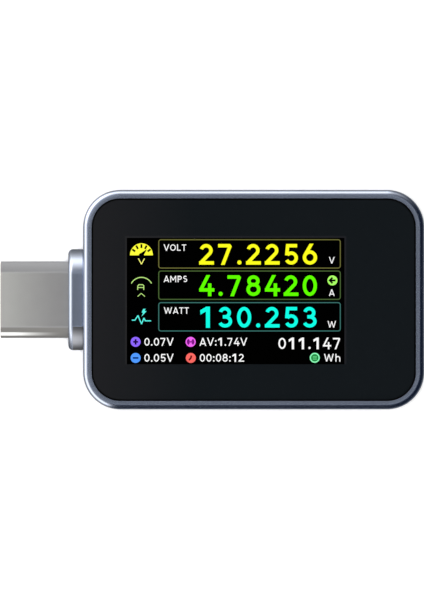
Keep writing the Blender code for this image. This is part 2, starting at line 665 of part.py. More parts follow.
def build_plug(materials, plug):
    """The USB-C plug in its collar: steel shell, moulded insert, two contact rows and the latch."""
    wall_face = PLUG_REACH + COLLAR_DEPTH - GAP
    back = wall_face + WALL - GAP
    steps = [(inset, PLUG_REACH + rise) for inset, rise in round_edge(COLLAR_EDGE, 0.0, -1)[::-1]]
    steps += [(0.0, wall_face), (COLLAR_NECK_STEP, wall_face), (COLLAR_NECK_STEP, back)]
    shape = skin([section(stadium(COLLAR_WIDTH, COLLAR_HEIGHT, inset), "X", x) for inset, x in steps])
    collar = add_object("plug_collar", shape, materials["blue_grey_aluminium"], parent=plug)
    bore = stadium(PLUG_WIDTH, PLUG_HEIGHT, -GAP)
    cutter = prism(bore, "X", PLUG_REACH - OVERSHOOT, back + OVERSHOOT)
    combine(collar, add_object("cut_collar_bore", cutter, None, parent=plug), "DIFFERENCE")

    shape = tube(PLUG_WIDTH, PLUG_HEIGHT, PLUG_WALL, 0.0, PLUG_SHELL_LENGTH, PLUG_TIP_EDGE)
    shell = add_object("plug_shell", shape, materials["satin_steel"], parent=plug)
    add_legs(shell, PLUG_WIDTH / 2, PLUG_SHELL_LENGTH - LEG_LENGTH - LEG_SETBACK[0])

    outline = stadium(PLUG_WIDTH, PLUG_HEIGHT, PLUG_WALL + GAP)
    front_sink, back_sink = INSERT_SINK
    body = prism(outline, "X", front_sink, PLUG_SHELL_LENGTH - back_sink)
    insert = add_object("plug_insulator", body, materials["black_plastic"], parent=plug)
    half_width, half_height = PLUG_SLOT[0] / 2, PLUG_SLOT[1] / 2
    slot = box((-OVERSHOOT, -half_width, -half_height), (PLUG_TAIL_END, half_width, half_height))
    combine(insert, add_object("cut_plug_slot", slot, None, parent=plug), "DIFFERENCE")

    root = PLUG_CONTACT_START + PLUG_CONTACT_LENGTH
    lower_level = -PLUG_CONTACT_LEVEL - PLUG_CONTACT_THICKNESS
    for row, level in (("upper", PLUG_CONTACT_LEVEL), ("lower", lower_level)):
        places = (PLUG_CONTACT_START, root, PLUG_SHELL_LENGTH, PLUG_TAIL_END)
        shape = contact_row(*places, level, PLUG_CONTACT_THICKNESS)
        add_object(f"plug_contacts_{row}", shape, materials["gold_contact"], parent=plug)
    latch = prism(latch_outline(root), "Z", -LATCH_HEIGHT / 2, LATCH_HEIGHT / 2)
    add_object("plug_latch", latch, materials["satin_steel"], parent=plug)


def latch_outline(root):
    """Top view of the latch: two arms with a hook at each tip, joined behind the contacts' roots."""
    outer = PLUG_SLOT[0] / 2 - 2 * GAP
    inner = outer - LATCH_THICKNESS
    rear = PLUG_SHELL_LENGTH - INSERT_SINK[1]
    arm = [
        (rear, outer),
        (LATCH_TIP, outer),
        (LATCH_TIP, inner - LATCH_HOOK / 2),
        (LATCH_TIP + LATCH_HOOK, inner - LATCH_HOOK),
        (LATCH_TIP + 2 * LATCH_HOOK, inner),
        (root + LATCH_BASE, inner),
    ]
    return arm + [(x, -y) for x, y in arm[::-1]]


def build_socket(materials, anchor):
    """A USB-C socket whose mouth faces its anchor's +X: steel shell, tongue and two contact rows."""
    name = anchor.name
    shape = tube(SOCKET_WIDTH, SOCKET_HEIGHT, SOCKET_WALL, 0.0, -SOCKET_DEPTH, SOCKET_LIP)
    shell = add_object(f"{name}_shell", shape, materials["satin_steel"], parent=anchor)
    add_legs(shell, SOCKET_WIDTH / 2, -SOCKET_DEPTH + LEG_SETBACK[1])

    base_front = -SOCKET_DEPTH + SOCKET_BASE
    outline = stadium(SOCKET_WIDTH, SOCKET_HEIGHT, SOCKET_WALL + GAP)
    base = prism(outline, "X", -SOCKET_DEPTH + GAP, base_front)
    tongue = add_object(f"{name}_tongue", base, materials["black_plastic"], parent=anchor)
    root_length, root_width, root_height = TONGUE_ROOT
    root_front = base_front + root_length
    inside = base_front - TONGUE_OVERLAP
    root = box((inside, -root_width / 2, -root_height / 2), (root_front, root_width / 2, root_height / 2))
    blade_outline = rounded_rectangle(TONGUE_WIDTH, TONGUE_THICKNESS, TONGUE_EDGE, EDGE_STEPS)
    blade = prism(blade_outline, "X", inside - GAP, -TONGUE_SINK)
    combine(tongue, add_object(f"join_{name}_root", root, None, parent=anchor), "UNION")
    combine(tongue, add_object(f"join_{name}_blade", blade, None, parent=anchor), "UNION")

    half_row = CONTACT_PITCH * CONTACT_COUNT / 2
    places = (-TONGUE_SINK - SOCKET_CONTACT_SETBACK, root_front - TONGUE_OVERLAP / 2)
    places += (-SOCKET_DEPTH, -SOCKET_DEPTH - SOCKET_TAIL)
    for row, side in (("upper", 1), ("lower", -1)):
        ends = (SOCKET_CONTACT_LEVEL, SOCKET_CONTACT_LEVEL + SOCKET_CONTACT_THICKNESS)
        low, high = sorted(side * end for end in ends)
        passage = box(
            (-SOCKET_DEPTH - OVERSHOOT, -half_row, low - GAP),
            (root_front + GAP, half_row, high + GAP),
        )
        combine(tongue, add_object(f"cut_{name}_{row}", passage, None, parent=anchor), "DIFFERENCE")
        shape = contact_row(*places, low, SOCKET_CONTACT_THICKNESS)
        add_object(f"{name}_contacts_{row}", shape, materials["gold_contact"], parent=anchor)


def build_button(materials, anchor):
    """A push button cap, the switch plunger that it drives, and the switch on the board."""
    name = anchor.name
    sections = [
        section(stadium(BUTTON_LENGTH, BUTTON_HEIGHT, -FLANGE_GROWTH), "Y", -FLANGE_INNER),
        section(stadium(BUTTON_LENGTH, BUTTON_HEIGHT, -FLANGE_GROWTH), "Y", -FLANGE_OUTER),
        section(stadium(BUTTON_LENGTH, BUTTON_HEIGHT), "Y", -FLANGE_OUTER),
    ]
    for inset, level in round_edge(BUTTON_EDGE, -BUTTON_SINK, 1):
        sections.append(section(stadium(BUTTON_LENGTH, BUTTON_HEIGHT, inset), "Y", level))
    add_object(f"{name}_cap", skin(sections), materials["blue_grey_aluminium"], parent=anchor)
    plunger = wall_block(PLUNGER_SIZE, PLUNGER_OUTER)
    add_object(f"{name}_plunger", plunger, materials["black_plastic"], parent=anchor)

    place = add_anchor(f"{name}_switch_place", anchor.location / MM)
    body = wall_block(SWITCH_SIZE, SWITCH_FRONT)
    switch = add_object(f"{name}_switch", body, materials["satin_steel"], parent=place)
    opening = SWITCH_FRONT - OVERSHOOT
    width = PLUNGER_SIZE[0] + 2 * PLUNGER_CLEARANCE
    height = PLUNGER_SIZE[2] + 2 * PLUNGER_CLEARANCE
    pocket = wall_block((width, POCKET_END - opening, height), opening)
    combine(switch, add_object(f"cut_{name}_pocket", pocket, None, parent=place), "DIFFERENCE")


def wall_block(size, outer):
    """A box centred on X and Z whose outer face lies that far inside the outer wall."""
    length, depth, height = size
    low = (-length / 2, -outer - depth, -height / 2)
    high = (length / 2, -outer, height / 2)
    return box(low, high)


def main():
    for leftover in list(bpy.data.objects):
        bpy.data.objects.remove(leftover)
    materials = make_materials()
    half_length, half_width = BODY_LENGTH / 2, BODY_WIDTH / 2
    plug = add_anchor("plug", (PLUG_X, 0, MID_HEIGHT))
    sockets = [
        add_anchor("socket", (half_length - SOCKET_SINK, 0, MID_HEIGHT)),
        add_anchor("data_port", (DATA_PORT_X, -half_width + SOCKET_SINK, MID_HEIGHT), -QUARTER_TURN),
    ]
    buttons = [
        add_anchor(f"button_{name}", (place * BUTTON_SPACING, half_width, MID_HEIGHT))
        for name, place in (("left", -1), ("middle", 0), ("right", 1))
    ]
    build_frame(materials, plug, sockets, buttons)
    build_glass(materials)
    build_display(materials)
    build_back_cover(materials)
    build_back_screws(materials)
    build_board(materials, plug, sockets, buttons)
    build_board_screws(materials)
    build_board_parts(materials)
    build_plug(materials, plug)
    for anchor in sockets:
        build_socket(materials, anchor)
    for anchor in buttons:
        build_button(materials, anchor)


main()
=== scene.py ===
"""The looks of a pocket USB-C power meter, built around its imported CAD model.

The meter lies on its back on a pale floor and is seen from straight above. The nodes that form its
outside are replaced by finer pieces of the same size, and the others keep their CAD shape under new
materials. The display's picture is drawn in thin lit shapes just over the glass. Shape sizes below
are in millimetres; build() turns them into metres.
"""

import json
import math

import bmesh
import bpy
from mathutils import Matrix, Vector


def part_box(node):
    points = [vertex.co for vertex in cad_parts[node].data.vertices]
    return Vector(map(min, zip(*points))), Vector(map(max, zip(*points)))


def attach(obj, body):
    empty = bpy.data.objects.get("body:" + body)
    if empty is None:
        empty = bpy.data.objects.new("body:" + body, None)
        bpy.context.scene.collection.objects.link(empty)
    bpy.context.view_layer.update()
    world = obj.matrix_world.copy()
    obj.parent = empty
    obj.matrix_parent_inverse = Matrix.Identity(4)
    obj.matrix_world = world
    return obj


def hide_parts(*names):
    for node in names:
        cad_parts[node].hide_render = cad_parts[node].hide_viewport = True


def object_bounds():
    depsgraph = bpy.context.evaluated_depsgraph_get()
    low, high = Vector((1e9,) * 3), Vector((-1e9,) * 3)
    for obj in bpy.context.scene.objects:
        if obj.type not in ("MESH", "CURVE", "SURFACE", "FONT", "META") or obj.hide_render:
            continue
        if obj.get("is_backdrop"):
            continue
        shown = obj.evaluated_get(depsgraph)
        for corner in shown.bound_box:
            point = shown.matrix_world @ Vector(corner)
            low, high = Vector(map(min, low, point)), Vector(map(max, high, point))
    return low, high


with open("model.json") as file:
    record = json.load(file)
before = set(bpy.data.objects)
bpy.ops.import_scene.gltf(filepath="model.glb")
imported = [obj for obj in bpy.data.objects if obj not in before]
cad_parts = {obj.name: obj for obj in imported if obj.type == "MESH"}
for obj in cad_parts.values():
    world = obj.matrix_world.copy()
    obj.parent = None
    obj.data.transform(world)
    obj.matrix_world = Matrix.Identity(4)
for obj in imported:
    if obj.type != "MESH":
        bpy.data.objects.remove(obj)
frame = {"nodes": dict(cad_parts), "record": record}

cad_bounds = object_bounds()

MM = 0.001
QUARTER_TURN = math.radians(90)
SHARP_ANGLE = math.radians(32)
BODY = "meter_body"
BUTTONS = ("button_left", "button_middle", "button_right")

# Sizes that the model keeps from part.py, in millimetres.
CORNER_RADIUS = 4.0
BACK_EDGE = 0.5
RIM_WIDTH = 0.93
WALL = 1.6
LEDGE_INSET = 3.0
COVER_SEAT = 1.2
MID_HEIGHT = 5.0
PICTURE_CENTRE = (-2.0, -0.07)
PLUG_SIZE = (8.25, 2.4)
PLUG_WALL = 0.28
PLUG_SLOT = (6.9, 1.2)
COLLAR_NECK_STEP = 0.5
SOCKET_SIZE = (8.94, 3.16)
SOCKET_WALL = 0.3
SOCKET_GAP = 0.08
NECK_GAP = 0.05
KEY_GAP = 0.05
PLUG_GAP = 0.05
BUTTON_SIZE = (4.4, 1.8)
SCREW_INSET = 3.15
SCREW_HEAD_RADIUS = 1.2
SCREW_HOLE = (0.62, 4.8)  # radius and depth
BOSS = (1.5, 7.0)  # radius and top
POSTS = ((-10.0, -9.15), (12.0, -9.15))
POST = (1.15, 5.4)  # radius and foot
POST_HOLE = (0.52, 7.4)

# Fine edges that only the looks have.
FRONT_EDGE = 0.55
GROOVE_OUTER = 0.895
GLASS_PULL = 0.02
COLLAR_EDGE = 0.5
INNER_EDGE = 0.02
GLASS_EDGE = 0.02
MOUTH_EDGE = 0.28
KEY_EDGE = 0.14
CAP_EDGE = 0.2
NOSE_EDGE = 0.1
PLUG_LIP = 0.05
INSERT_EDGE = 0.1
SOCKET_LIP = 0.12
COVER_EDGE = 0.15
COUNTERSINK_EDGE = 0.08

# Smoothness of round shapes, in steps for a quarter circle.
CORNER_STEPS = 28
EDGE_STEPS = 9
STADIUM_STEPS = 20


# ---- Shapes ----


def millimetres(corner):
    return Vector(corner) / MM


def node_box(node):
    """A CAD node's lowest and highest corners, in millimetres."""
    low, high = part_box(node)
    return millimetres(low), millimetres(high)


def rounded_rectangle(length, width, radius, steps=CORNER_STEPS):
    """Outline points, anticlockwise, with arcs for corners."""
    points = []
    for corner, (side_u, side_v) in enumerate(((1, 1), (-1, 1), (-1, -1), (1, -1))):
        centre = Vector((side_u * (length / 2 - radius), side_v * (width / 2 - radius)))
        for step in range(steps + 1):
            angle = QUARTER_TURN * (corner + step / steps)
            point = centre + radius * Vector((math.cos(angle), math.sin(angle)))
            if not points or (point - points[-1]).length > 1e-5:
                points.append(point)
    if (points[0] - points[-1]).length < 1e-5:
        points.pop()
    return points


def stadium(size, inset=0.0):
    """Outline with half-round ends, drawn in by inset all round."""
    length, width = size
    radius = width / 2 - inset
    return rounded_rectangle(length - 2 * inset, width - 2 * inset, radius, STADIUM_STEPS)


def circle(radius, steps=STADIUM_STEPS):
    return rounded_rectangle(2 * radius, 2 * radius, radius, steps)


def section(outline, along, level, centre=(0, 0, 0)):
    """An outline stood square to the axis named by along, at that level, and shifted to a centre."""
    centre = Vector(centre)
    if along == "X":
        return [centre + Vector((level, u, v)) for u, v in outline]
    if along == "Y":
        return [centre + Vector((u, level, v)) for u, v in outline]
    return [centre + Vector((u, v, level)) for u, v in outline]


def skin(sections, ring=False):
    """A closed shape through sections of equal point count; a ring joins the last to the first."""
    shape = bmesh.new()
    loops = [[shape.verts.new(point) for point in points] for points in sections]
    pairs = list(zip(loops, loops[1:]))
    if ring:
        pairs.append((loops[-1], loops[0]))
    else:
        shape.faces.new(loops[0])
        shape.faces.new(loops[-1])
    for lower, upper in pairs:
        for i, corner in enumerate(lower):
            following = (i + 1) % len(lower)
            shape.faces.new((corner, lower[following], upper[following], upper[i]))
    return shape


def lathe_along(profile, along, centre, outline):
    """A solid whose outline(inset) changes along an axis, from (inset, level) points."""
    return skin([section(outline(inset), along, level, centre) for inset, level in profile])


def opening(size, gap, edge, mouth, back, out, along, centre):
    """A cutter for a hole with a rounded rim, from back to past the mouth, in the direction out."""
    rim = [(-gap - inset, level) for inset, level in round_edge(edge, mouth, out)]
    profile = [(-gap, back)] + rim + [(rim[-1][0], mouth + out)]
    return lathe_along(profile, along, centre, lambda inset: stadium(size, inset))


def pillar(place, radius, low, high):
    """An upright round bar."""
    return skin([section(circle(radius), "Z", level, (*place, 0)) for level in (low, high)])


def box_shape(low, high):
    """A box between two corners."""
    size = Vector(high) - Vector(low)
    outline = [(0, 0), (size.x, 0), (size.x, size.y), (0, size.y)]
    return skin([section(outline, "Z", level, low) for level in (0, size.z)])


def round_edge(radius, level, outward, steps=EDGE_STEPS):
    """(inset, level) points round an outer edge, from the side face over to the face at level."""
    points = []
    for step in range(steps + 1):
        angle = QUARTER_TURN * step / steps
        rise = radius * (1 - math.sin(angle))
        points.append((radius * (1 - math.cos(angle)), level - outward * rise))
    return points


def build(name, shape, material):
    """Turns a bmesh in millimetres into an object in metres."""
    bmesh.ops.recalc_face_normals(shape, faces=shape.faces)
    bmesh.ops.scale(shape, vec=(MM, MM, MM), verts=shape.verts)
    mesh = bpy.data.meshes.new(name)
    shape.to_mesh(mesh)
    shape.free()
    if material:
        mesh.materials.append(material)
    made = bpy.data.objects.new(name, mesh)
    bpy.context.scene.collection.objects.link(made)
    return made


def combine(target, shape, operation):
    """Cuts or joins a helper shape for good."""
    tool = build(f"{target.name}_tool", shape, None)
    modifier = target.modifiers.new("combine", "BOOLEAN")
    modifier.operation = operation
    modifier.object = tool
    evaluated = target.evaluated_get(bpy.context.evaluated_depsgraph_get())
    old = target.data
    target.data = bpy.data.meshes.new_from_object(evaluated)
    target.modifiers.clear()
    bpy.data.meshes.remove(old)
    bpy.data.objects.remove(tool)


def cut(target, shape):
    combine(target, shape, "DIFFERENCE")


def finish_piece(piece, body, slot, *replaced, flat=True):
    """Shades a piece, hides the CAD nodes that it stands for, and rides it on its body."""
    piece.data.shade_smooth()
    piece.data.set_sharp_from_angle(angle=SHARP_ANGLE)
    if flat:
        weighted = piece.modifiers.new("flat_faces", "WEIGHTED_NORMAL")
        weighted.keep_sharp = True
    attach(piece, body)
    if replaced:
        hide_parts(*replaced)
    return piece


body_low, body_high = node_box("housing_frame")
glass_low, glass_high = node_box("cover_glass")
cover_low, cover_high = node_box("back_cover")
BODY_LENGTH = body_high.x - body_low.x
BODY_WIDTH = body_high.y - body_low.y
GLASS_INSET = body_high.x - glass_high.x
LEDGE_TOP = node_box("glass_tape")[0].z - 0.05
SCREW_PLACES = [
    (sx * (body_high.x - SCREW_INSET), sy * (body_high.y - SCREW_INSET))
    for sx, sy in ((-1, -1), (1, -1), (1, 1), (-1, 1))
]


# ---- Materials ----

NOISE_RANGE = (0.3, 0.7)  # between which most of a noise texture's values lie


class Tree:
    """A node tree, and short ways to add nodes to it."""

    def __init__(self, owner):
        owner.use_nodes = True
        self.owner = owner
        self.tree = owner.node_tree

    def feed(self, node, inputs):
        """Gives each named input a number or a colour, or links it to a node's output."""
        for name, value in inputs.items():
            if isinstance(value, (int, float, tuple)):
                node.inputs[name].default_value = value
            else:
                self.tree.links.new(value, node.inputs[name])

    def add(self, kind, inputs, **settings):
        """A node with its inputs and settings."""
        node = self.tree.nodes.new(kind)
        for name, value in settings.items():
            setattr(node, name, value)
        self.feed(node, inputs)
        return node

    def maths(self, operation, a, b=0.0):
        return self.add("ShaderNodeMath", {0: a, 1: b}, operation=operation).outputs[0]

    def times(self, a, b):
        return self.maths("MULTIPLY", a, b)

    def plus(self, a, b):
        return self.maths("ADD", a, b)

    def spread(self, value, start, end, **settings):
        """0 where value is start, 1 where it is end, in proportion between them."""
        inputs = {"Value": value, "From Min": start, "From Max": end}
        return self.add("ShaderNodeMapRange", inputs, **settings).outputs["Result"]

    def ramp(self, value, points):
        """The colour that runs through (position, colour) points."""
        node = self.add("ShaderNodeValToRGB", {"Fac": value})
        elements = node.color_ramp.elements
        while len(elements) < len(points):
            elements.new(1.0)
        for element, (position, colour) in zip(elements, points):
            element.position = position
            element.color = (*colour, 1)
        return node.outputs["Color"]

    def scale(self, colour, factor):
        inputs = {0: colour, "Scale": factor}
        return self.add("ShaderNodeVectorMath", inputs, operation="SCALE").outputs[0]


class Nodes(Tree):
    """A material with a Principled shader, and short ways to feed it from textures."""

    def __init__(self, name, roughness=0.5, metallic=0.0, specular=0.5):
        super().__init__(bpy.data.materials.new(name))
        self.material = self.owner
        self.shader = self.tree.nodes["Principled BSDF"]
        inputs = {"Roughness": roughness, "Metallic": metallic, "Specular IOR Level": specular}
        self.feed(self.shader, inputs)
        self.place = self.add("ShaderNodeTexCoord", {}).outputs["Object"]

    def noise(self, grain, detail=2.0, stretch=(1, 1, 1)):
        """Noise whose grains measure about grain millimetres, before they are stretched."""
        mapping = self.add("ShaderNodeMapping", {"Scale": stretch, "Vector": self.place})
        inputs = {"Scale": 1 / (grain * MM), "Detail": detail, "Vector": mapping.outputs["Vector"]}
        return self.add("ShaderNodeTexNoise", inputs).outputs["Fac"]

    def across(self, axis):
        """The place along an axis, in millimetres."""
        parts = self.add("ShaderNodeSeparateXYZ", {0: self.place})
        return self.maths("DIVIDE", parts.outputs[axis], MM)

    def colours(self, factor, low, high, start=NOISE_RANGE[0], end=NOISE_RANGE[1]):
        """Base colour that runs from low to high as factor runs from start to end."""
        colour = self.ramp(factor, ((start, low), (end, high)))
        self.feed(self.shader, {"Base Color": colour})
        return colour

    def tinted(self, mask, below, colour):
        """Base colour that turns from below to colour where mask is 1."""
        if isinstance(colour, tuple):
            colour = (*colour, 1)
        inputs = {"Factor": mask, 6: below, 7: colour}
        mixed = self.add("ShaderNodeMix", inputs, data_type="RGBA").outputs[2]
        self.feed(self.shader, {"Base Color": mixed})
        return mixed

    def roughness(self, factor, low, high):
        """Roughness that varies between two values with factor."""
        share = self.times(self.spread(factor, *NOISE_RANGE), high - low)
        self.feed(self.shader, {"Roughness": self.plus(share, low)})

    def bump(self, factor, height, strength=1.0):
        """Raises the surface by up to height millimetres where factor is 1."""
        inputs = {"Strength": strength, "Distance": height * MM, "Height": factor}
        self.feed(self.shader, {"Normal": self.add("ShaderNodeBump", inputs).outputs["Normal"]})

    def blasted(self, roughness):
        """The fine even grain of bead-blasted metal."""
        self.roughness(self.noise(0.15), *roughness)
        self.bump(self.noise(0.06, detail=1.0), 0.002, strength=0.15)

    def drawn(self, roughness, stretch):
        """Faint lines along the direction that a metal was drawn in."""
        lines = self.noise(0.05, detail=3.0, stretch=stretch)
        self.roughness(lines, *roughness)
        self.bump(lines, 0.0006, strength=0.4)

    def polished(self):
        """Polished glass, with faint clouds in its shine."""
        self.roughness(self.noise(3.0), 0.035, 0.07)


COATED_GLASS = 0.06  # specular level
PAINTED_SHEEN_END = -5.0  # where the painted sheen, lighter and warmer toward the plug's end, has faded out
DRAWN_ALONG = (0.08, 1, 1)

COLLAR_FLAT = 2.72  # half the width of the collar's flat top
COLLAR_PAINTED_SHADE = (  # how far over its lower side, and the grey of the painted shade there
    (0.08, 0.056),
    (0.17, 0.07),
    (0.32, 0.16),
    (0.48, 0.284),
    (0.6, 0.32),
    (0.72, 0.29),
    (0.87, 0.115),
    (0.96, 0.05),
)
COLLAR_PAINTED_SHADE_TINT = (0.985, 1.0, 1.05)
COLLAR_PAINTED_SHADE_START = (0.05, 0.07)
COLLAR_PAINTED_SHADE_SHARE = (0.82, 1.22)  # the painted shade's strength at the body and at the nose
COLLAR_METAL_EDGE = (0.35, 0.55)  # how far behind the nose the painted shade starts

PLUG_FLAT = (PLUG_SIZE[0] - PLUG_SIZE[1]) / 2
# The plug's colours paint in light and shade: a highlight toward the tip, shade on both rounded sides, a
# highlight at the upper edge and a bright highlight line low down.
PLATING_DULL = (0.243, 0.242, 0.244)
PLATING_TIP_HIGHLIGHT = (0.413, 0.415, 0.403)
PLATING_UPPER_SHADE = (0.185, 0.186, 0.189)
PLATING_UPPER_EDGE_HIGHLIGHT = (0.316, 0.318, 0.324)
PLATING_LOWER_SHADE = (0.157, 0.153, 0.145)
TIP_HIGHLIGHT_FADE = (-19.4, -27.3)
HIGHLIGHT_LINE_COLOUR = (0.9, 0.9, 0.88)
HIGHLIGHT_LINE_FADE = (-20.2, -25.8)
HIGHLIGHT_LINE_MIDDLE = -3.7
HIGHLIGHT_LINE_REACH = (0.225, 0.105)  # half the painted highlight line's width, where it ends and where it is full


def anodised_aluminium(name, low, high, roughness):
    """Bead-blasted and anodised metal: a fine even grain and slight clouds in the tint."""
    made = Nodes(name, metallic=1.0)
    made.colours(made.noise(6.0), low, high)
    made.blasted(roughness)
    return made.material


def shaded_collar(name, low, high, roughness):
    """The collar's anodised metal, with light and shade painted in flat, non-metallic greys on its lower
    side.
    """
    made = Nodes(name, metallic=1.0, specular=0.2)
    metal = made.colours(made.noise(6.0), low, high)
    nose, side = node_box("plug_collar")[0].xy
    toward_side = made.spread(made.across("Y"), -COLLAR_FLAT, side)
    # painted light and shade: greys that run dark, light and dark again round the rounded lower side
    greys = [(place, [grey * share for share in COLLAR_PAINTED_SHADE_TINT]) for place, grey in COLLAR_PAINTED_SHADE]
    painted_shade = made.ramp(toward_side, greys)
    toward_nose = made.spread(made.across("X"), body_low.x, nose)
    weakest, strongest = COLLAR_PAINTED_SHADE_SHARE
    share = made.times(toward_nose, strongest - weakest)
    painted_shade = made.scale(painted_shade, made.plus(share, weakest))
    behind_edge = made.spread(made.across("X"), *[nose + reach for reach in COLLAR_METAL_EDGE])
    mask = made.times(made.spread(toward_side, *COLLAR_PAINTED_SHADE_START), behind_edge)
    made.tinted(mask, metal, painted_shade)
    made.feed(made.shader, {"Metallic": made.maths("SUBTRACT", 1.0, mask)})
    made.blasted(roughness)
    return made.material


def satin_metal(name, low, high, roughness, stretch=DRAWN_ALONG):
    """Plated or blackened metal: faint lines along the direction that it was drawn in."""
    made = Nodes(name, metallic=1.0)
    made.colours(made.noise(1.5, stretch=stretch), low, high)
    made.drawn(roughness, stretch)
    return made.material


def plug_plating(name):
    """The plug's dull plating, with painted light and shade: a highlight growing toward the tip, shade on
    its rounded sides, a highlight toward the upper edge and a highlight line along the lower edge.
    """
    made = Nodes(name, specular=0.2)
    clouds = made.times(made.noise(1.5), 0.15)
    flat = made.spread(made.maths("ABSOLUTE", made.across("Y")), PLUG_FLAT + 0.1, PLUG_FLAT - 0.1)
    # painted highlight: the flat grows paler toward the tip
    toward_tip = made.maths("POWER", made.spread(made.across("X"), *TIP_HIGHLIGHT_FADE), 1.35)
    toward_tip = made.times(toward_tip, flat)
    toward_tip = made.plus(toward_tip, clouds)
    plating = made.colours(toward_tip, PLATING_DULL, PLATING_TIP_HIGHLIGHT, 0.07, 1.07)
    # painted shade on the rounded sides above and below
    for side, colour in ((1, PLATING_UPPER_SHADE), (-1, PLATING_LOWER_SHADE)):
        mask = made.spread(made.across("Y"), side * PLUG_FLAT, side * (PLUG_FLAT + 0.15))
        plating = made.tinted(mask, plating, colour)
    # painted highlight: the upper side grows brighter toward its outer edge
    toward_side = made.spread(made.across("Y"), PLUG_FLAT, PLUG_SIZE[0] / 2)
    plating = made.tinted(made.maths("POWER", toward_side, 2.2), plating, PLATING_UPPER_EDGE_HIGHLIGHT)
    # painted highlight: a bright line along the lower side near the tip, fading toward the collar
    off = made.maths("ABSOLUTE", made.maths("SUBTRACT", made.across("Y"), HIGHLIGHT_LINE_MIDDLE))
    mask = made.spread(off, *HIGHLIGHT_LINE_REACH)
    fade = made.maths("POWER", made.spread(made.across("X"), *HIGHLIGHT_LINE_FADE), 2.0)
    made.tinted(made.times(mask, fade), plating, HIGHLIGHT_LINE_COLOUR)
    made.feed(made.shader, {"Metallic": made.times(flat, 0.5)})
    made.drawn((0.36, 0.46), DRAWN_ALONG)
    return made.material


def dark_glass(name, left, right):
    """Coated glass over black print, with a painted sheen that makes it a touch lighter and warmer toward
    the plug's end.
    """
    made = Nodes(name, roughness=0.05, specular=COATED_GLASS)
    clouds = made.times(made.noise(9.0), 0.2)
    # painted reflection: lighter toward the plug's end
    place = made.plus(made.spread(made.across("X"), body_low.x, PAINTED_SHEEN_END), clouds)
    made.colours(place, left, right, 0.1, 1.1)
    made.polished()
    return made.material


def moulded_plastic(name, low, high, grain=0.05, height=0.003, roughness=(0.4, 0.55), specular=0.5):
    """Moulded plastic with a fine spark-eroded grain."""
    made = Nodes(name, specular=specular)
    made.colours(made.noise(0.8), low, high)
    made.roughness(made.noise(grain * 3), *roughness)
    made.bump(made.noise(grain), height)
    return made.material


def solder_mask(name):
    """Green board coating over faint raised copper tracks."""
    made = Nodes(name, specular=0.4)
    inputs = {"Scale": 1 / (1.6 * MM), "Mortar Size": 0.06, "Vector": made.place}
    tracks = made.add("ShaderNodeTexBrick", inputs).outputs["Fac"]
    made.colours(tracks, (0.004, 0.03, 0.016), (0.008, 0.06, 0.032), 0.0, 1.0)
    made.roughness(made.noise(0.4), 0.25, 0.4)
    made.bump(tracks, 0.02)
    return made.material


def lit(name, colour):
    """A lit colour of the display, seen through polished glass."""
    made = Nodes(name, roughness=0.05, specular=COATED_GLASS)
    glow = {"Base Color": (0, 0, 0, 1), "Emission Color": (*colour, 1), "Emission Strength": 1.0}
    made.feed(made.shader, glow)
    made.polished()
    return made.material


ALUMINIUM = anodised_aluminium(
    "blue_grey_aluminium", (0.51, 0.598, 0.792), (0.537, 0.629, 0.832), (0.195, 0.225)
)
COLLAR_ALUMINIUM = shaded_collar(
    "collar_aluminium", (0.484, 0.563, 0.726), (0.506, 0.59, 0.76), (0.22, 0.26)
)
COVER_ALUMINIUM = anodised_aluminium(
    "cover_aluminium", (0.488, 0.576, 0.766), (0.515, 0.605, 0.803), (0.28, 0.36)
)
NICKEL = satin_metal("satin_nickel", (0.76, 0.75, 0.73), (0.82, 0.81, 0.79), (0.2, 0.3))
DARK_STEEL = satin_metal(
    "dark_steel", (0.05, 0.05, 0.055), (0.08, 0.08, 0.085), (0.3, 0.42), (1, 1, 1)
)
GOLD = satin_metal("gold_plating", (0.75, 0.5, 0.18), (0.85, 0.6, 0.26), (0.15, 0.25), (0.2, 1, 1))
PLUG_NICKEL = plug_plating("plug_plating")
# the first colour of each dark glass is the painted sheen's lighter end, at the plug's end
GLASS = dark_glass("black_glass", (0.0097, 0.0097, 0.0108), (0.0044, 0.0058, 0.007))
PICTURE_BLACK = dark_glass("picture_black", (0.0, 0.0, 0.0), (0.0001, 0.0001, 0.0001))
EDGE_GREY = dark_glass("picture_edge_grey", (0.014, 0.014, 0.014), (0.009, 0.0095, 0.0115))
BLACK_PLASTIC = moulded_plastic("black_plastic", (0.010, 0.010, 0.011), (0.018, 0.018, 0.019))
# a black without shine, painted into the groove round the glass as shade
PAINTED_GROOVE_SHADE = moulded_plastic(
    "black_adhesive", (0.001, 0.001, 0.001), (0.002, 0.002, 0.002), specular=0.0
)
FOAM = moulded_plastic(
    "black_foam", (0.008, 0.008, 0.008), (0.03, 0.03, 0.03), 0.2, 0.05, (0.85, 0.95)
)
REFLECTOR = moulded_plastic("white_reflector", (0.74, 0.74, 0.73), (0.82, 0.82, 0.81), 0.1)
FILM = moulded_plastic("amber_film", (0.42, 0.17, 0.03), (0.55, 0.25, 0.05), 0.5, 0.002, (0.25, 0.4))
EPOXY = moulded_plastic("chip_epoxy", (0.016, 0.016, 0.017), (0.026, 0.026, 0.028), 0.08, 0.006)
CERAMIC = moulded_plastic("capacitor_ceramic", (0.30, 0.21, 0.13), (0.40, 0.30, 0.21), 0.1)
SILICONE = moulded_plastic(
    "grey_silicone", (0.26, 0.28, 0.31), (0.34, 0.36, 0.39), 0.15, 0.01, (0.6, 0.8)
)
BOARD = solder_mask("board_laminate")

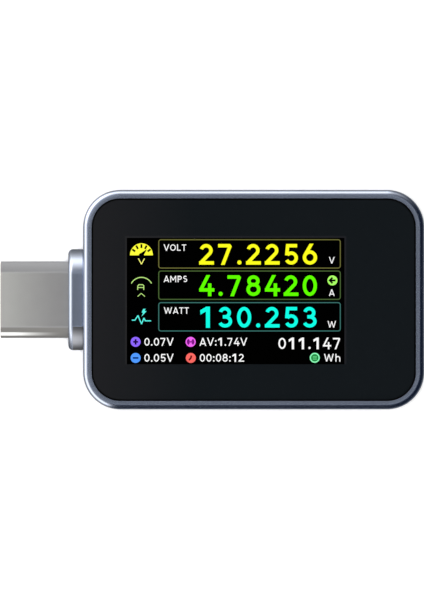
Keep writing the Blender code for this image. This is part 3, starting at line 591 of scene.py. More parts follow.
INNER_LOOKS = {
    "black_foam": FOAM,
    "display_glass": GLASS,
    "white_reflector": REFLECTOR,
    "satin_steel": NICKEL,
    "dark_steel": DARK_STEEL,
    "gold_contact": GOLD,
    "black_plastic": BLACK_PLASTIC,
    "board_laminate": BOARD,
    "amber_film": FILM,
    "chip_epoxy": EPOXY,
    "ceramic": CERAMIC,
    "grey_silicone": SILICONE,
    "blue_grey_aluminium": ALUMINIUM,
    "black_glass": GLASS,
}


# ---- The body ----


def body_outline(inset):
    """The body's outline, drawn in by inset all round."""
    radius = CORNER_RADIUS - inset
    return rounded_rectangle(BODY_LENGTH - 2 * inset, BODY_WIDTH - 2 * inset, radius)


def body_ring(profile, ring=True):
    """A band or a plate that follows the body's outline, from (inset, height) points."""
    return skin([section(body_outline(inset), "Z", height) for inset, height in profile], ring)


def sockets():
    """Each socket's name, axis, centre, back and mouth along that axis, and the way out of it."""
    for name, along, out in (("socket", "X", 1), ("data_port", "Y", -1)):
        low, high = node_box(f"{name}_shell")
        centre = (low + high) / 2
        axis = "XYZ".index(along)
        back, mouth = (low[axis], high[axis])[::out]
        centre[axis] = 0
        yield name, along, centre, back, mouth, out


def inset_at(x, y):
    """How far inside the body's outline a place is."""
    from_end = BODY_LENGTH / 2 - abs(x)
    from_side = BODY_WIDTH / 2 - abs(y)
    if max(from_end, from_side) < CORNER_RADIUS:
        return CORNER_RADIUS - math.hypot(CORNER_RADIUS - from_end, CORNER_RADIUS - from_side)
    return min(from_end, from_side)


def blacken_groove(piece):
    """Paints the walls and the ledge round the glass black, as painted shade that keeps the groove dark.
    """
    # painted shade: a black with no shine for the groove's walls and ledge
    piece.data.materials.append(PAINTED_GROOVE_SHADE)
    for face in piece.data.polygons:
        centre = millimetres(face.center)
        inside = inset_at(centre.x, centre.y) > GROOVE_OUTER - 0.01
        if inside and LEDGE_TOP - 0.01 < centre.z < body_high.z - 0.001:
            face.material_index = 1


def collar_size():
    low, high = node_box("plug_collar")
    return high.y - low.y, high.z - low.z


def add_pillars(piece):
    """The bosses for the back screws and the posts for the board's screws, with their holes."""
    radius, top = BOSS
    hole, depth = SCREW_HOLE
    for place in SCREW_PLACES:
        combine(piece, pillar(place, radius, COVER_SEAT, top), "UNION")
        cut(piece, pillar(place, hole, 0, depth))
    radius, foot = POST
    hole, depth = POST_HOLE
    for place in POSTS:
        combine(piece, pillar(place, radius, foot, LEDGE_TOP - 0.35), "UNION")
        cut(piece, pillar(place, hole, 0, depth))


def make_frame():
    """The milled frame, with rounded rims and softened edges round the socket and button openings."""
    top, bottom = body_high.z, body_low.z
    inside = [
        (GROOVE_OUTER, top),
        (GROOVE_OUTER, LEDGE_TOP),
        (LEDGE_INSET, LEDGE_TOP),
        (LEDGE_INSET, LEDGE_TOP - 0.7),
        (WALL, LEDGE_TOP - 0.7),
        (WALL, COVER_SEAT),
        (RIM_WIDTH, COVER_SEAT),
        (RIM_WIDTH, bottom + INNER_EDGE),
        (RIM_WIDTH - INNER_EDGE, bottom),
    ]
    profile = round_edge(FRONT_EDGE, top, 1) + inside + round_edge(BACK_EDGE, bottom, -1)[::-1]
    piece = build("housing", body_ring(profile), ALUMINIUM)
    add_pillars(piece)
    neck = stadium(collar_size(), COLLAR_NECK_STEP - NECK_GAP)
    ends = (body_low.x - 1, body_low.x + WALL + 1)
    cut(piece, skin([section(neck, "X", end, (0, 0, MID_HEIGHT)) for end in ends]))
    for name, along, centre, back, mouth, out in sockets():
        wall = body_high.x if along == "X" else body_low.y
        inner = wall - out * (WALL + 1)
        cut(piece, opening(SOCKET_SIZE, SOCKET_GAP, MOUTH_EDGE, wall, inner, out, along, centre))
    for name in BUTTONS:
        low, high = node_box(f"{name}_cap")
        centre = ((low.x + high.x) / 2, 0, MID_HEIGHT)
        wall = body_high.y
        cut(piece, opening(BUTTON_SIZE, KEY_GAP, KEY_EDGE, wall, wall - WALL - 1, 1, "Y", centre))
    blacken_groove(piece)
    return finish_piece(piece, BODY, "blue_grey_aluminium", "housing_frame")


def make_glass():
    """The cover glass with its ground and polished edge."""
    side = GLASS_INSET + GLASS_PULL
    rim = [(side + inset, level) for inset, level in round_edge(GLASS_EDGE, glass_high.z, 1)]
    profile = [(side, glass_low.z)] + rim
    piece = build("front_glass", body_ring(profile, ring=False), GLASS)
    return finish_piece(piece, BODY, "black_glass", "cover_glass")


def make_cover():
    """The back cover with softened edges and four countersinks."""
    inset = body_high.x - cover_high.x
    edge = [(inset + i, level) for i, level in round_edge(COVER_EDGE, cover_low.z, -1)]
    profile = [(inset, cover_high.z)] + edge
    piece = build("back_plate", body_ring(profile, ring=False), COVER_ALUMINIUM)
    radius = SCREW_HEAD_RADIUS + 0.05
    for x, y in SCREW_PLACES:
        cone = [
            (radius + COUNTERSINK_EDGE, -1),
            (radius + COUNTERSINK_EDGE, cover_low.z),
            (radius, cover_low.z + COUNTERSINK_EDGE),
            (radius, cover_low.z + 0.2),
            (0.7, cover_low.z + 0.75),
            (0.7, cover_high.z + 1),
        ]
        cut(piece, skin([section(circle(r), "Z", level, (x, y, 0)) for r, level in cone]))
    return finish_piece(piece, BODY, "blue_grey_aluminium", "back_cover")


def make_screws():
    """Countersunk screws with rounded rims and cross recesses."""
    for number, (x, y) in enumerate(SCREW_PLACES, 1):
        low, high = node_box(f"back_screw_{number}")
        profile = [
            (SCREW_HEAD_RADIUS - 0.06, low.z),
            (SCREW_HEAD_RADIUS, low.z + 0.04),
            (SCREW_HEAD_RADIUS, low.z + 0.1),
            (0.6, low.z + 0.65),
            (0.6, high.z - 0.35),
            (0.25, high.z),
        ]
        shape = skin([section(circle(r), "Z", level, (x, y, 0)) for r, level in profile])
        piece = build(f"cover_screw_{number}", shape, DARK_STEEL)
        for length, width in ((1.3, 0.28), (0.28, 1.3)):
            corner = (x - length / 2, y - width / 2, low.z - 0.5)
            opposite = (x + length / 2, y + width / 2, low.z + 0.4)
            cut(piece, box_shape(corner, opposite))
        finish_piece(piece, BODY, "dark_steel", f"back_screw_{number}")


# ---- The plug, the sockets and the buttons ----


def make_collar():
    """The turned-down nose that the plug comes out of."""
    low, high = node_box("plug_collar")
    size = collar_size()
    centre = (0, 0, MID_HEIGHT)
    shoulder = body_low.x - 0.05
    nose = round_edge(COLLAR_EDGE, low.x + 0.03, -1)[::-1]
    back = [
        (0.0, shoulder - 0.04),
        (0.04, shoulder),
        (COLLAR_NECK_STEP, shoulder),
        (COLLAR_NECK_STEP, high.x),
    ]
    shape = lathe_along(nose + back, "X", centre, lambda inset: stadium(size, inset))
    piece = build("nose_collar", shape, COLLAR_ALUMINIUM)
    cut(piece, opening(PLUG_SIZE, PLUG_GAP, NOSE_EDGE, low.x, high.x + 1, -1, "X", centre))
    return finish_piece(piece, BODY, "blue_grey_aluminium", "plug_collar")


def tube(name, size, wall, lip, along, centre, mouth, back, material):
    """A drawn steel tube with half-round sides and a rounded lip at its mouth."""
    inward = math.copysign(1, back - mouth)
    outer = round_edge(lip, mouth, -inward)
    inner = [(wall - inset / 2, level) for inset, level in round_edge(lip / 2, mouth, -inward)]
    profile = [(wall, back)] + inner + outer[::-1] + [(0, back)]
    sections = [section(stadium(size, inset), along, level, centre) for inset, level in profile]
    return build(name, skin(sections, ring=True), material)


def make_plug():
    """The plug's shell and the moulded insert inside it."""
    low, high = node_box("plug_shell")
    centre = (0, 0, MID_HEIGHT)
    shell = tube(
        "plug_tube", PLUG_SIZE, PLUG_WALL, PLUG_LIP, "X", centre, low.x, high.x, PLUG_NICKEL
    )
    finish_piece(shell, BODY, "satin_steel", "plug_shell")
    low, high = node_box("plug_insulator")
    inside = PLUG_WALL + PLUG_GAP
    profile = round_edge(INSERT_EDGE, low.x, -1, steps=3)[::-1] + [(0.0, high.x)]
    shape = lathe_along(profile, "X", centre, lambda inset: stadium(PLUG_SIZE, inside + inset))
    piece = build("plug_insert", shape, BLACK_PLASTIC)
    width, height = PLUG_SLOT
    corner = (low.x - 1, -width / 2, MID_HEIGHT - height / 2)
    opposite = (high.x + 1, width / 2, MID_HEIGHT + height / 2)
    cut(piece, box_shape(corner, opposite))
    finish_piece(piece, BODY, "black_plastic", "plug_insulator")


def make_sockets():
    """The drawn shells of both sockets."""
    for name, along, centre, back, mouth, out in sockets():
        shell = tube(
            f"{name}_tube", SOCKET_SIZE, SOCKET_WALL, SOCKET_LIP, along, centre, mouth, back, NICKEL
        )
        finish_piece(shell, BODY, "satin_steel", f"{name}_shell")


def make_buttons():
    """Button caps with rounded rims and a shallow dish for the fingertip."""
    for name in BUTTONS:
        low, high = node_box(f"{name}_cap")
        centre = ((low.x + high.x) / 2, 0, MID_HEIGHT)
        flange = [(-0.4, low.y), (-0.4, low.y + 0.4), (0.0, low.y + 0.4)]
        rim = round_edge(CAP_EDGE, high.y, 1)
        dish = [(0.32, high.y - 0.01), (0.5, high.y - 0.04), (0.7, high.y - 0.06)]
        shape = lathe_along(flange + rim + dish, "Y", centre, lambda inset: stadium(BUTTON_SIZE, inset))
        piece = build(f"{name}_key", shape, ALUMINIUM)
        finish_piece(piece, name, "blue_grey_aluminium", f"{name}_cap")


def dress_inner_nodes():
    """Gives each CAD node that isn't replaced the material of its slot."""
    slots = {part["node"]: part["material_slot"] for part in frame["record"]["subparts"]}
    for name, node in frame["nodes"].items():
        if not node.hide_render:
            node.data.materials.clear()
            node.data.materials.append(INNER_LOOKS[slots[name]])


# ---- The display's picture ----

HALF_STROKE = 0.082  # half a stroke's width, for letters 1 high
SMALL_HALF_STROKE = 0.068
ARC_STEP = 9
LAYER = 0.008
LAYER_GAP = 0.002
MITRE_LIMIT = 1.7


def arc(x, y, radius_x, radius_y, start, end):
    """Points along an ellipse, from start to end in degrees."""
    count = max(3, round(abs(end - start) / ARC_STEP))
    points = []
    for step in range(count + 1):
        angle = math.radians(start + (end - start) * step / count)
        points.append((x + radius_x * math.cos(angle), y + radius_y * math.sin(angle)))
    return points


def filled(*points):
    """A filled outline in a glyph, instead of a stroke."""
    return ("filled", points)


def circle_points(x, y, radius):
    return arc(x, y, radius, radius, 0, 360)[:-1]


def dot(y):
    """A full stop's circle at a height above the baseline."""
    return filled(*circle_points(0, y, 0.1))


# Each glyph's advance and strokes, centred on x = 0, with the baseline at 0 and the top at 1.
DIGIT = 0.805
GLYPHS = {
    "0": (DIGIT, [arc(0, 0.5, 0.255, 0.406, 90, -270)]),
    "1": (DIGIT, [
        filled(
            (0.162, 0), (0.162, 1), (-0.012, 1), (-0.3, 0.83), (-0.285, 0.625), (-0.03, 0.77),
            (-0.03, 0),
        )
    ]),
    "2": (DIGIT, [
        arc(-0.016, 0.685, 0.225, 0.221, 165, -38) + [(-0.25, 0.12)],
        [(-0.35, 0.094), (0.35, 0.094)],
    ]),
    "3": (DIGIT, [
        arc(-0.02, 0.7125, 0.205, 0.1935, 168, -90) + [(-0.12, 0.519)],
        arc(-0.01, 0.3065, 0.25, 0.2125, 90, -160),
    ]),
    "4": (DIGIT, [
        [(0.085, 1), (-0.286, 0.276)],
        [(-0.345, 0.298), (0.372, 0.298)],
        [(0.149, 0.607), (0.149, 0)],
    ]),
    "5": (DIGIT, [
        [(0.288, 0.906), (-0.158, 0.906), (-0.203, 0.45)],
        arc(0.012, 0.326, 0.232, 0.232, 142, -156),
    ]),
    "6": (DIGIT, [[(0.082, 1)] + arc(0.005, 0.352, 0.258, 0.258, 150, 510)]),
    "7": (DIGIT, [[(-0.34, 0.906), (0.228, 0.906), (-0.122, 0)]]),
    "8": (DIGIT, [arc(0, 0.722, 0.21, 0.184, 90, -270), arc(0, 0.3215, 0.25, 0.2275, 90, -270)]),
    ".": (0.357, [dot(0.115)]),
    ":": (0.37, [dot(0.125), dot(0.6)]),
    "A": (0.93, [[(-0.35, 0), (0, 0.965), (0.35, 0)], [(-0.2, 0.26), (0.2, 0.26)]]),
    "V": (0.93, [[(-0.355, 1), (0, 0.035), (0.355, 1)]]),
    "W": (1.4, [[(-0.55, 1), (-0.28, 0.035), (0, 0.93), (0.28, 0.035), (0.55, 1)]]),
    "O": (1.04, [arc(0, 0.5, 0.36, 0.406, 90, -270)]),
    "L": (0.76, [[(-0.21, 1), (-0.21, 0.094), (0.27, 0.094)]]),
    "T": (0.8, [[(-0.33, 0.906), (0.33, 0.906)], [(0, 0.9), (0, 0)]]),
    "M": (1.12, [[(-0.38, 0), (-0.38, 0.95), (0, 0.3), (0.38, 0.95), (0.38, 0)]]),
    "P": (0.84, [
        [(-0.24, 0), (-0.24, 0.906), (0.03, 0.906)]
        + arc(0.03, 0.675, 0.22, 0.231, 90, -90)
        + [(-0.24, 0.444)]
    ]),
    "S": (0.84, [
        arc(0, 0.709, 0.215, 0.197, 35, 270),
        arc(0, 0.303, 0.235, 0.209, 90, -145),
    ]),
    "h": (0.88, [[(-0.245, 1), (-0.245, 0)], arc(0.0, 0.4, 0.245, 0.25, 180, 0) + [(0.245, 0)]]),
}


def path_sides(points, half):
    """The left and right side points of a stroke, mitred, or cut flat at a sharp turn."""
    points = [Vector(point) for point in points]
    closed = (points[0] - points[-1]).length < 1e-6
    sides = []
    last = len(points) - 1
    for i, point in enumerate(points):
        before = (point - points[i - 1]).normalized() if i else None
        after = (points[i + 1] - point).normalized() if i < last else None
        if closed and i in (0, last):
            before = (points[last] - points[last - 1]).normalized()
            after = (points[1] - points[0]).normalized()
        if before is None or after is None:
            way = before or after
            across = Vector((-way.y, way.x)) * half
            if point.y in (0, 1) and abs(way.y) > 0.5:
                across = Vector((-half / way.y, 0))  # a level end on the baseline or the top line
            sides.append((point + across, point - across))
            continue
        turns = (before, after)
        bisector = (before + after).normalized()
        stretch = 1 / max(bisector.dot(after), 0.05)
        if stretch < MITRE_LIMIT:
            across = Vector((-bisector.y, bisector.x)) * half * stretch
            sides.append((point + across, point - across))
            continue
        inner = Vector((-bisector.y, bisector.x)) * half * min(stretch, 3.0)
        left_turn = before.x * after.y - before.y * after.x > 0
        for way in turns:
            across = Vector((-way.y, way.x)) * half
            if left_turn:
                sides.append((point + inner, point - across))
            else:
                sides.append((point + across, point - inner))
    return sides


class Picture:
    """A layer of lit shapes in one colour, in millimetres from the picture's centre."""

    def __init__(self, name, material, layer=1):
        self.name = name
        self.material = material
        self.shape = bmesh.new()
        self.low = glass_high.z + layer * (LAYER + LAYER_GAP) - LAYER

    def corner(self, x, y):
        return self.shape.verts.new((x + PICTURE_CENTRE[0], y + PICTURE_CENTRE[1], self.low))

    def fill(self, points):
        """A filled outline."""
        self.shape.faces.new([self.corner(x, y) for x, y in points])

    def stroke(self, points, half, place=lambda point: point):
        """A stroke of even width along a line of points, then moved and scaled by place."""
        sides = [[self.corner(*place(side)) for side in pair] for pair in path_sides(points, half)]
        for (left, right), (next_left, next_right) in zip(sides, sides[1:]):
            self.shape.faces.new((left, right, next_right, next_left))

    def text(self, words, x, baseline, height, align="left", spacing=0.0, weight=SMALL_HALF_STROKE):
        """Words that start, end or are centred at x."""
        advances = [(GLYPHS[letter][0] + spacing) * height for letter in words]
        if align != "left":
            x -= sum(advances) * (0.5 if align == "centre" else 1)
        for letter, advance in zip(words, advances):
            self.glyph(GLYPHS[letter][1], (x + advance / 2, baseline), height, weight)
            x += advance

    def glyph(self, strokes, origin, height, weight):
        """One letter, scaled to a height and moved to its place on the baseline."""

        def place(point):
            return origin[0] + point[0] * height, origin[1] + point[1] * height

        for item in strokes:
            if item[0] == "filled":
                self.fill([place(point) for point in item[1]])
            else:
                self.stroke(item, weight, place)

    def outline(self, left, right, top, bottom, radius, width):
        """A rounded box drawn as a line."""
        middle = ((left + right) / 2, (top + bottom) / 2)
        points = rounded_rectangle(right - left, top - bottom, radius, 4)
        points = [(x + middle[0], y + middle[1]) for x, y in points]
        self.stroke(points + points[:1], width / 2)

    def disc(self, x, y, radius):
        self.fill(circle_points(x, y, radius))

    def sign(self, x, y, strokes):
        """Strokes drawn from (points, half width) pairs, moved to a centre."""
        for points, half in strokes:
            self.stroke([(x + u, y + v) for u, v in points], half)

    def finish(self):
        """Thickens the flat shapes into slabs and makes the piece."""
        raised = bmesh.ops.extrude_face_region(self.shape, geom=self.shape.faces[:])["geom"]
        corners = [item for item in raised if isinstance(item, bmesh.types.BMVert)]
        bmesh.ops.translate(self.shape, vec=(0, 0, LAYER), verts=corners)
        piece = build(self.name, self.shape, self.material)
        return finish_piece(piece, BODY, "display_glass", flat=False)


# Each row: name, reading, unit, label, colour, colour of its box, top of its box, unit's baseline.
ROWS = (
    ("volts", "27.2256", "V", "VOLT", (1.0, 1.0, 0.013), (0.14, 0.14, 0.036), 6.52, 3.94),
    ("amps", "4.78420", "A", "AMPS", (0.115, 1.0, 0.0), (0.065, 0.122, 0.034), 3.15, 0.47),
    ("watts", "130.253", "W", "WATT", (0.005, 0.98, 0.78), (0.041, 0.158, 0.14), -0.25, -2.95),
)
BOX_LEFT = -8.22
BOX_RIGHT = 11.315
BOX_HEIGHT = 3.05
BOX_RADIUS = 0.24
BOX_LINE = 0.108
READING_HEIGHT = 2.28
READING_DROP = 2.71  # from a box's top to its reading's baseline
READING_RIGHT = 9.048
READING_SPACING = 0.082
LABEL_HEIGHT = 0.71
LABEL_DROP = 1.2
LABEL_LEFT = BOX_LEFT + 0.5
LABEL_HALF_STROKE = 0.07
UNIT_CENTRE = 10.4
UNIT_HEIGHT = 0.73
PICTURE_SIDES = (11.76, -11.65)
PICTURE_ENDS = (-6.88, 6.72)
EDGE_WIDTH = 0.2
WHITE = (0.95, 0.95, 0.95)
# Each line of the lower part: words, x, baseline, height, alignment and extra spacing.
SMALL_LINES = (
    ("0.07V", -9.84, -4.905, 0.88, "left", 0.0),
    ("0.05V", -9.84, -6.625, 0.88, "left", 0.0),
    ("AV:1.74V", -3.88, -4.905, 0.88, "left", 0.0),
    ("00:08:12", -3.88, -6.625, 0.88, "left", 0.0),
    ("011.147", 11.485, -5.265, 1.26, "right", 0.0485),
    ("Wh", 11.43, -6.6, 0.85, "right", 0.0),
)


def make_picture():
    """The black picture area, and everything that is lit on it."""
    edge = Picture("picture_edge", EDGE_GREY, layer=1)
    half = EDGE_WIDTH / 2
    right, left = PICTURE_SIDES
    bottom, top = PICTURE_ENDS
    corners = [(right, bottom), (right, top), (left, top), (left, bottom)]
    edge.stroke([(x + math.copysign(half, x), y + half * (y > 0)) for x, y in corners], half)
    edge.finish()
    ground = Picture("picture_ground", PICTURE_BLACK, layer=1)
    ground.fill(corners)
    ground.finish()
    white = Picture("picture_white", lit("lit_white", WHITE), layer=2)
    for name, reading, unit, label, colour, line, top, unit_base in ROWS:
        digits = Picture(f"picture_{name}", lit(f"lit_{name}", colour), layer=2)
        base = top - READING_DROP
        digits.text(reading, READING_RIGHT, base, READING_HEIGHT, "right", READING_SPACING, HALF_STROKE)
        digits.finish()
        box = Picture(f"picture_{name}_box", lit(f"lit_{name}_box", line), layer=2)
        box.outline(BOX_LEFT, BOX_RIGHT, top, top - BOX_HEIGHT, BOX_RADIUS, BOX_LINE)
        box.finish()
        white.text(label, LABEL_LEFT, top - LABEL_DROP, LABEL_HEIGHT, weight=LABEL_HALF_STROKE)
        white.text(unit, UNIT_CENTRE, unit_base, UNIT_HEIGHT, "centre")
    for line in SMALL_LINES:
        white.text(*line)
    white.finish()
    make_icons()
    make_badges()


# The three symbols at the left are centred on this x. Strokes are (points, half width) pairs.
ICON_X = -10.08
GAUGE_BASE = 4.84
GAUGE_HUB = 4.79
GAUGE_TICKS = (34, 62, 90, 118, 146)  # degrees
GAUGE_LETTER = (([(-0.33, 4.5), (0, 3.89), (0.33, 4.5)], 0.048),)
GAUGE_NEEDLE = ((0.2, 4.78), (0.6, 5.5), (-0.12, 5.04))
SCALE_STROKES = (
    (arc(0, 1.24, 1.23, 1.23, 152, 28), 0.05),
    ([(-0.4, 1.12), (-0.4, 1.52), (-0.29, 1.68), (0.13, 1.68), (0.25, 1.58), (0.25, 1.12)], 0.048),
    ([(-0.4, 1.38), (0.25, 1.38)], 0.042),
    ([(-0.41, 0.41), (-0.02, 0.75), (0.37, 0.41)], 0.038),
)
PULSE_Y = -2.13
PULSE_BEAT = (
    (-1.03, 0.0), (-0.7, 0.0), (-0.37, 0.5), (0.01, -0.42), (0.27, 0.23), (0.42, -0.08), (1.04, -0.08)
)
PULSE_BOLT = (
    (0.02, 0.8), (0.18, 0.8), (0.0, 0.36), (0.56, 0.97), (0.36, 0.97), (0.44, 1.22), (0.18, 1.2)
)


def make_icons():
    """The three symbols at the left: a dial for volts, a scale for amps and a pulse for watts."""
    gauge = Picture("icon_gauge", lit("lit_gauge", (1.0, 1.0, 0.045)), layer=2)
    gauge.fill(arc(ICON_X, GAUGE_BASE, 1.24, 1.3, 0, 180))
    gauge.finish()
    letter = Picture("icon_gauge_letter", lit("lit_gauge_letter", (1.0, 1.0, 0.2)), layer=2)
    letter.sign(ICON_X, 0, GAUGE_LETTER)
    letter.finish()
    marks = Picture("icon_gauge_marks", PICTURE_BLACK, layer=3)
    hub = Vector((ICON_X, GAUGE_HUB))
    for angle in GAUGE_TICKS:
        way = Vector((math.cos(math.radians(angle)), math.sin(math.radians(angle)) * 1.04))
        marks.stroke([hub + way * 0.8, hub + way * 1.2], 0.1)
    marks.disc(ICON_X, GAUGE_HUB + 0.01, 0.29)
    marks.fill([(ICON_X + u, v) for u, v in GAUGE_NEEDLE])
    marks.finish()
    scale = Picture("icon_scale", lit("lit_scale", (0.5, 0.82, 0.22)), layer=2)
    scale.sign(ICON_X, 0, SCALE_STROKES)
    scale.finish()
    pulse = Picture("icon_pulse", lit("lit_pulse", (0.1, 0.88, 0.78)), layer=2)
    pulse.sign(ICON_X, PULSE_Y, ((PULSE_BEAT, 0.06),))
    pulse.fill([(ICON_X + u, PULSE_Y + v) for u, v in PULSE_BOLT])
    pulse.finish()


BADGE_RADIUS = 0.54
ENERGY_DISC = 0.4
# Each badge: its name, centre, colour, the colour of its sign, and the sign's strokes.
BADGES = (
    ("plus", -10.705, -4.47, (0.27, 0.13, 1.0), (0.008, 0.0, 0.05), (
        ([(-0.27, 0), (0.27, 0)], 0.085),
        ([(0, -0.29), (0, 0.29)], 0.095),
    )),
    ("minus", -10.705, -6.2, (0.08, 0.32, 1.0), (0.0, 0.03, 0.2), (
        ([(-0.3, 0), (0.3, 0)], 0.09),
    )),
    ("link", -4.785, -4.47, (0.9, 0.13, 0.9), (0.2, 0.008, 0.23), (
        (arc(0, 0, 0.29, 0.29, 125, 235), 0.12),
        (arc(0, 0, 0.29, 0.29, 55, -55), 0.12),
        ([(-0.26, 0), (0.26, 0)], 0.07),
    )),
    ("clock", -4.765, -6.2, (0.95, 0.14, 0.12), (0.1, 0.0, 0.0), (
        ([(0.06, 0.26), (0, -0.01), (-0.2, -0.24)], 0.085),
    )),
    ("energy", 8.57, -6.185, (0.26, 0.95, 0.48), (0.01, 0.26, 0.05), ()),
    ("flow", 10.47, 2.14, (0.4, 1.0, 0.13), (0.0, 0.0, 0.0), (
        ([(0.33, 0), (-0.2, 0)], 0.1),
        ([(0.01, 0.3), (-0.29, 0), (0.01, -0.3)], 0.1),
    )),
)
ENERGY_LINES = [([(-0.22, rise), (0.22, rise)], 0.04) for rise in (-0.15, 0.0, 0.15)]


def make_badges():
    """The small round badges, each with a darker sign on it."""
    for name, x, y, colour, shade, strokes in BADGES:
        badge = Picture(f"badge_{name}", lit(f"lit_{name}", colour), layer=2)
        badge.disc(x, y, BADGE_RADIUS)
        badge.finish()
        sign = Picture(f"sign_{name}", lit(f"lit_{name}_sign", shade), layer=3)
        sign.sign(x, y, strokes)
        if name == "energy":
            sign.disc(x, y, ENERGY_DISC)
        sign.finish()
        if name == "energy":
            lines = Picture("sign_energy_lines", lit("lit_energy_lines", (0.14, 0.66, 0.25)), layer=4)
            lines.sign(x, y, ENERGY_LINES)
            lines.finish()


# ---- The studio ----

VIEW_WIDTH = 45.63  # millimetres across the picture, at the level of the front rim
VIEW_CENTRE = (-4.488, -0.037)
VIEW_LEVEL = 9.5
CAMERA_DISTANCE = 1.8  # metres
SENSOR = 36.0
IMAGE_SIZE = (424, 600)

# The light that shiny surfaces see: an angle down from the zenith, a strength and a tint.
# Right overhead it is dark, so that the glass stays black.
WARM = (1.12, 1.04, 0.95)
PLAIN = (1.0, 1.0, 1.0)
COOL = (0.6, 0.85, 1.4)
BRIGHT_AZIMUTH = 167  # degrees anticlockwise from the meter's right end
BRIGHT_STEP = (0.0, 0.2)
FAR_AZIMUTH = 90
FAR_SHARE = 0.42
FAR_POWER = 7.0
HOT_AZIMUTH = 140
HOT_STEP = (0.8, 1.0)
HOT_GAIN = 0.7
BRIGHT_WALL = (
    (0, 0.014, PLAIN),
    (3, 0.014, PLAIN),
    (7, 0.4, PLAIN),
    (13, 0.295, PLAIN),
    (20, 0.273, PLAIN),
    (30, 0.59, WARM),
    (43, 1.18, WARM),
    (58, 1.91, WARM),
    (72, 1.91, WARM),
    (88, 0.955, WARM),
    (105, 0.5, WARM),
    (125, 0.273, WARM),
    (150, 0.16, PLAIN),
)
DARK_WALL = (
    (0, 0.014, PLAIN),
    (3, 0.014, PLAIN),
    (7, 0.455, PLAIN),
    (12, 0.205, PLAIN),
    (20, 0.0455, COOL),
    (30, 0.0227, COOL),
    (57, 0.018, COOL),
    (95, 0.022, COOL),
    (108, 0.15, PLAIN),
    (125, 0.2, PLAIN),
    (155, 0.2, PLAIN),
)
DIFFUSE_LIGHT = (0.66, 0.66, 0.66)
LAMP_SIZE = 0.14  # metres, like its height
LAMP_HEIGHT = 1.0
LAMP_ENERGY = 9.5


def make_floor():
    """A pale floor under the meter."""
    made = Nodes("pale_floor", roughness=0.6, specular=0.2)
    made.colours(made.noise(60.0), (0.96, 0.96, 0.96), (0.98, 0.98, 0.98))
    made.bump(made.noise(1.5), 0.01, strength=0.2)
    bpy.ops.mesh.primitive_plane_add(size=4, location=(0, 0, body_low.z * MM - 0.00001))
    floor = bpy.context.object
    floor.name = "floor"
    floor.data.materials.append(made.material)
    floor.visible_glossy = False
    floor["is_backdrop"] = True


def wall(studio, fall, points):
    """Light along (angle in degrees, strength, tint) points, for a fall of 1 at 180 degrees."""
    top = 2 * max(strength for _, strength, _ in points)
    stops = []
    for angle, strength, tint in points:
        stops.append((angle / 180, [strength * share / top for share in tint]))
    return studio.scale(studio.ramp(fall, stops), top)


def blend(studio, factor, low, high):
    """Runs from low to high as factor runs from 0 to 1."""
    inputs = {"Factor": factor, 4: low, 5: high}
    return studio.add("ShaderNodeMix", inputs, data_type="VECTOR").outputs[1]


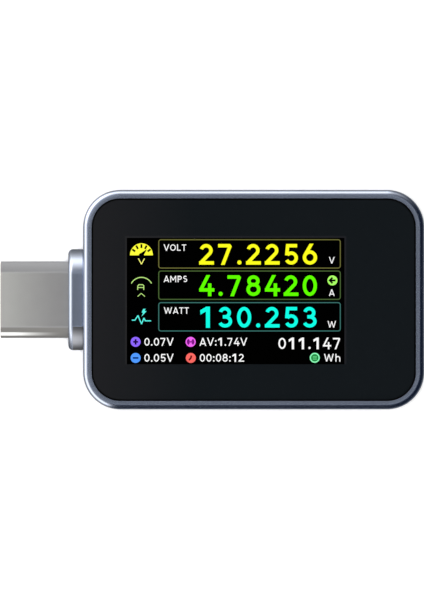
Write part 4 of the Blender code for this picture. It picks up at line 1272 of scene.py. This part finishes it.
def make_world():
    """A white studio, in which shiny surfaces see a bright wall at the left and far sides.

    The wall's strength depends on the angle down from the zenith, and fades round to the dark sides.
    """
    studio = Tree(bpy.data.worlds.new("studio"))
    studio.tree.nodes.clear()
    way = studio.add("ShaderNodeTexCoord", {}).outputs["Generated"]
    parts = studio.add("ShaderNodeSeparateXYZ", {0: way})
    x, y, z = (parts.outputs[i] for i in range(3))
    fall = studio.maths("ARCCOSINE", studio.maths("MINIMUM", studio.maths("MAXIMUM", z, -1.0), 1.0))
    fall = studio.maths("DIVIDE", fall, math.pi)
    length = studio.maths("SINE", studio.times(fall, math.pi))
    length = studio.maths("MAXIMUM", length, 0.001)

    def toward(azimuth):
        """How squarely a direction points to an azimuth in degrees: 1 right at it, -1 opposite."""
        along_x = studio.times(x, math.cos(math.radians(azimuth)))
        along_y = studio.times(y, math.sin(math.radians(azimuth)))
        return studio.maths("DIVIDE", studio.plus(along_x, along_y), length)

    side = studio.spread(toward(BRIGHT_AZIMUTH), *BRIGHT_STEP, interpolation_type="SMOOTHSTEP")
    far = studio.maths("POWER", studio.maths("MAXIMUM", toward(FAR_AZIMUTH), 0.0), FAR_POWER)
    side = studio.maths("MAXIMUM", side, studio.times(far, FAR_SHARE))
    hot = studio.spread(toward(HOT_AZIMUTH), *HOT_STEP, interpolation_type="SMOOTHSTEP")
    gain = studio.plus(studio.times(hot, HOT_GAIN), 1.0)
    bright = studio.scale(wall(studio, fall, BRIGHT_WALL), gain)
    glossy = blend(studio, side, wall(studio, fall, DARK_WALL), bright)
    rays = studio.add("ShaderNodeLightPath", {})
    seen = blend(studio, rays.outputs["Is Glossy Ray"], DIFFUSE_LIGHT, glossy)
    seen = blend(studio, rays.outputs["Is Camera Ray"], seen, PLAIN)
    background = studio.add("ShaderNodeBackground", {"Color": seen})
    studio.add("ShaderNodeOutputWorld", {0: background.outputs[0]})
    studio.owner.cycles.sampling_method = "NONE"
    bpy.context.scene.world = studio.owner


def make_key_light():
    """A large soft light overhead that keeps the floor pale."""
    lamp = bpy.data.lights.new("overhead_softbox", "AREA")
    lamp.shape = "DISK"
    lamp.size = LAMP_SIZE
    lamp.energy = LAMP_ENERGY
    light = bpy.data.objects.new("overhead_softbox", lamp)
    light.location = (VIEW_CENTRE[0] * MM, VIEW_CENTRE[1] * MM, LAMP_HEIGHT)
    light.visible_glossy = False
    light.visible_camera = False
    bpy.context.scene.collection.objects.link(light)


def make_camera():
    """A long lens straight above, with the plug's tip at the left edge of the view."""
    camera = bpy.data.cameras.new("camera")
    camera.sensor_width = SENSOR
    view_height = VIEW_WIDTH * MM * IMAGE_SIZE[1] / IMAGE_SIZE[0]
    camera.lens = SENSOR * CAMERA_DISTANCE / view_height
    camera.clip_end = 10
    placed = bpy.data.objects.new("camera", camera)
    placed.location = (VIEW_CENTRE[0] * MM, VIEW_CENTRE[1] * MM, VIEW_LEVEL * MM + CAMERA_DISTANCE)
    bpy.context.scene.collection.objects.link(placed)
    bpy.context.scene.camera = placed
    bpy.context.scene.view_settings.view_transform = "Standard"


make_camera()
make_floor()
make_world()
make_key_light()
make_frame()
make_glass()
make_cover()
make_screws()
make_collar()
make_plug()
make_sockets()
make_buttons()
make_picture()
dress_inner_nodes()

sizes = {"cad": cad_bounds, "visual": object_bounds()}
{name: [list(corner) for corner in corners] for name, corners in sizes.items()}
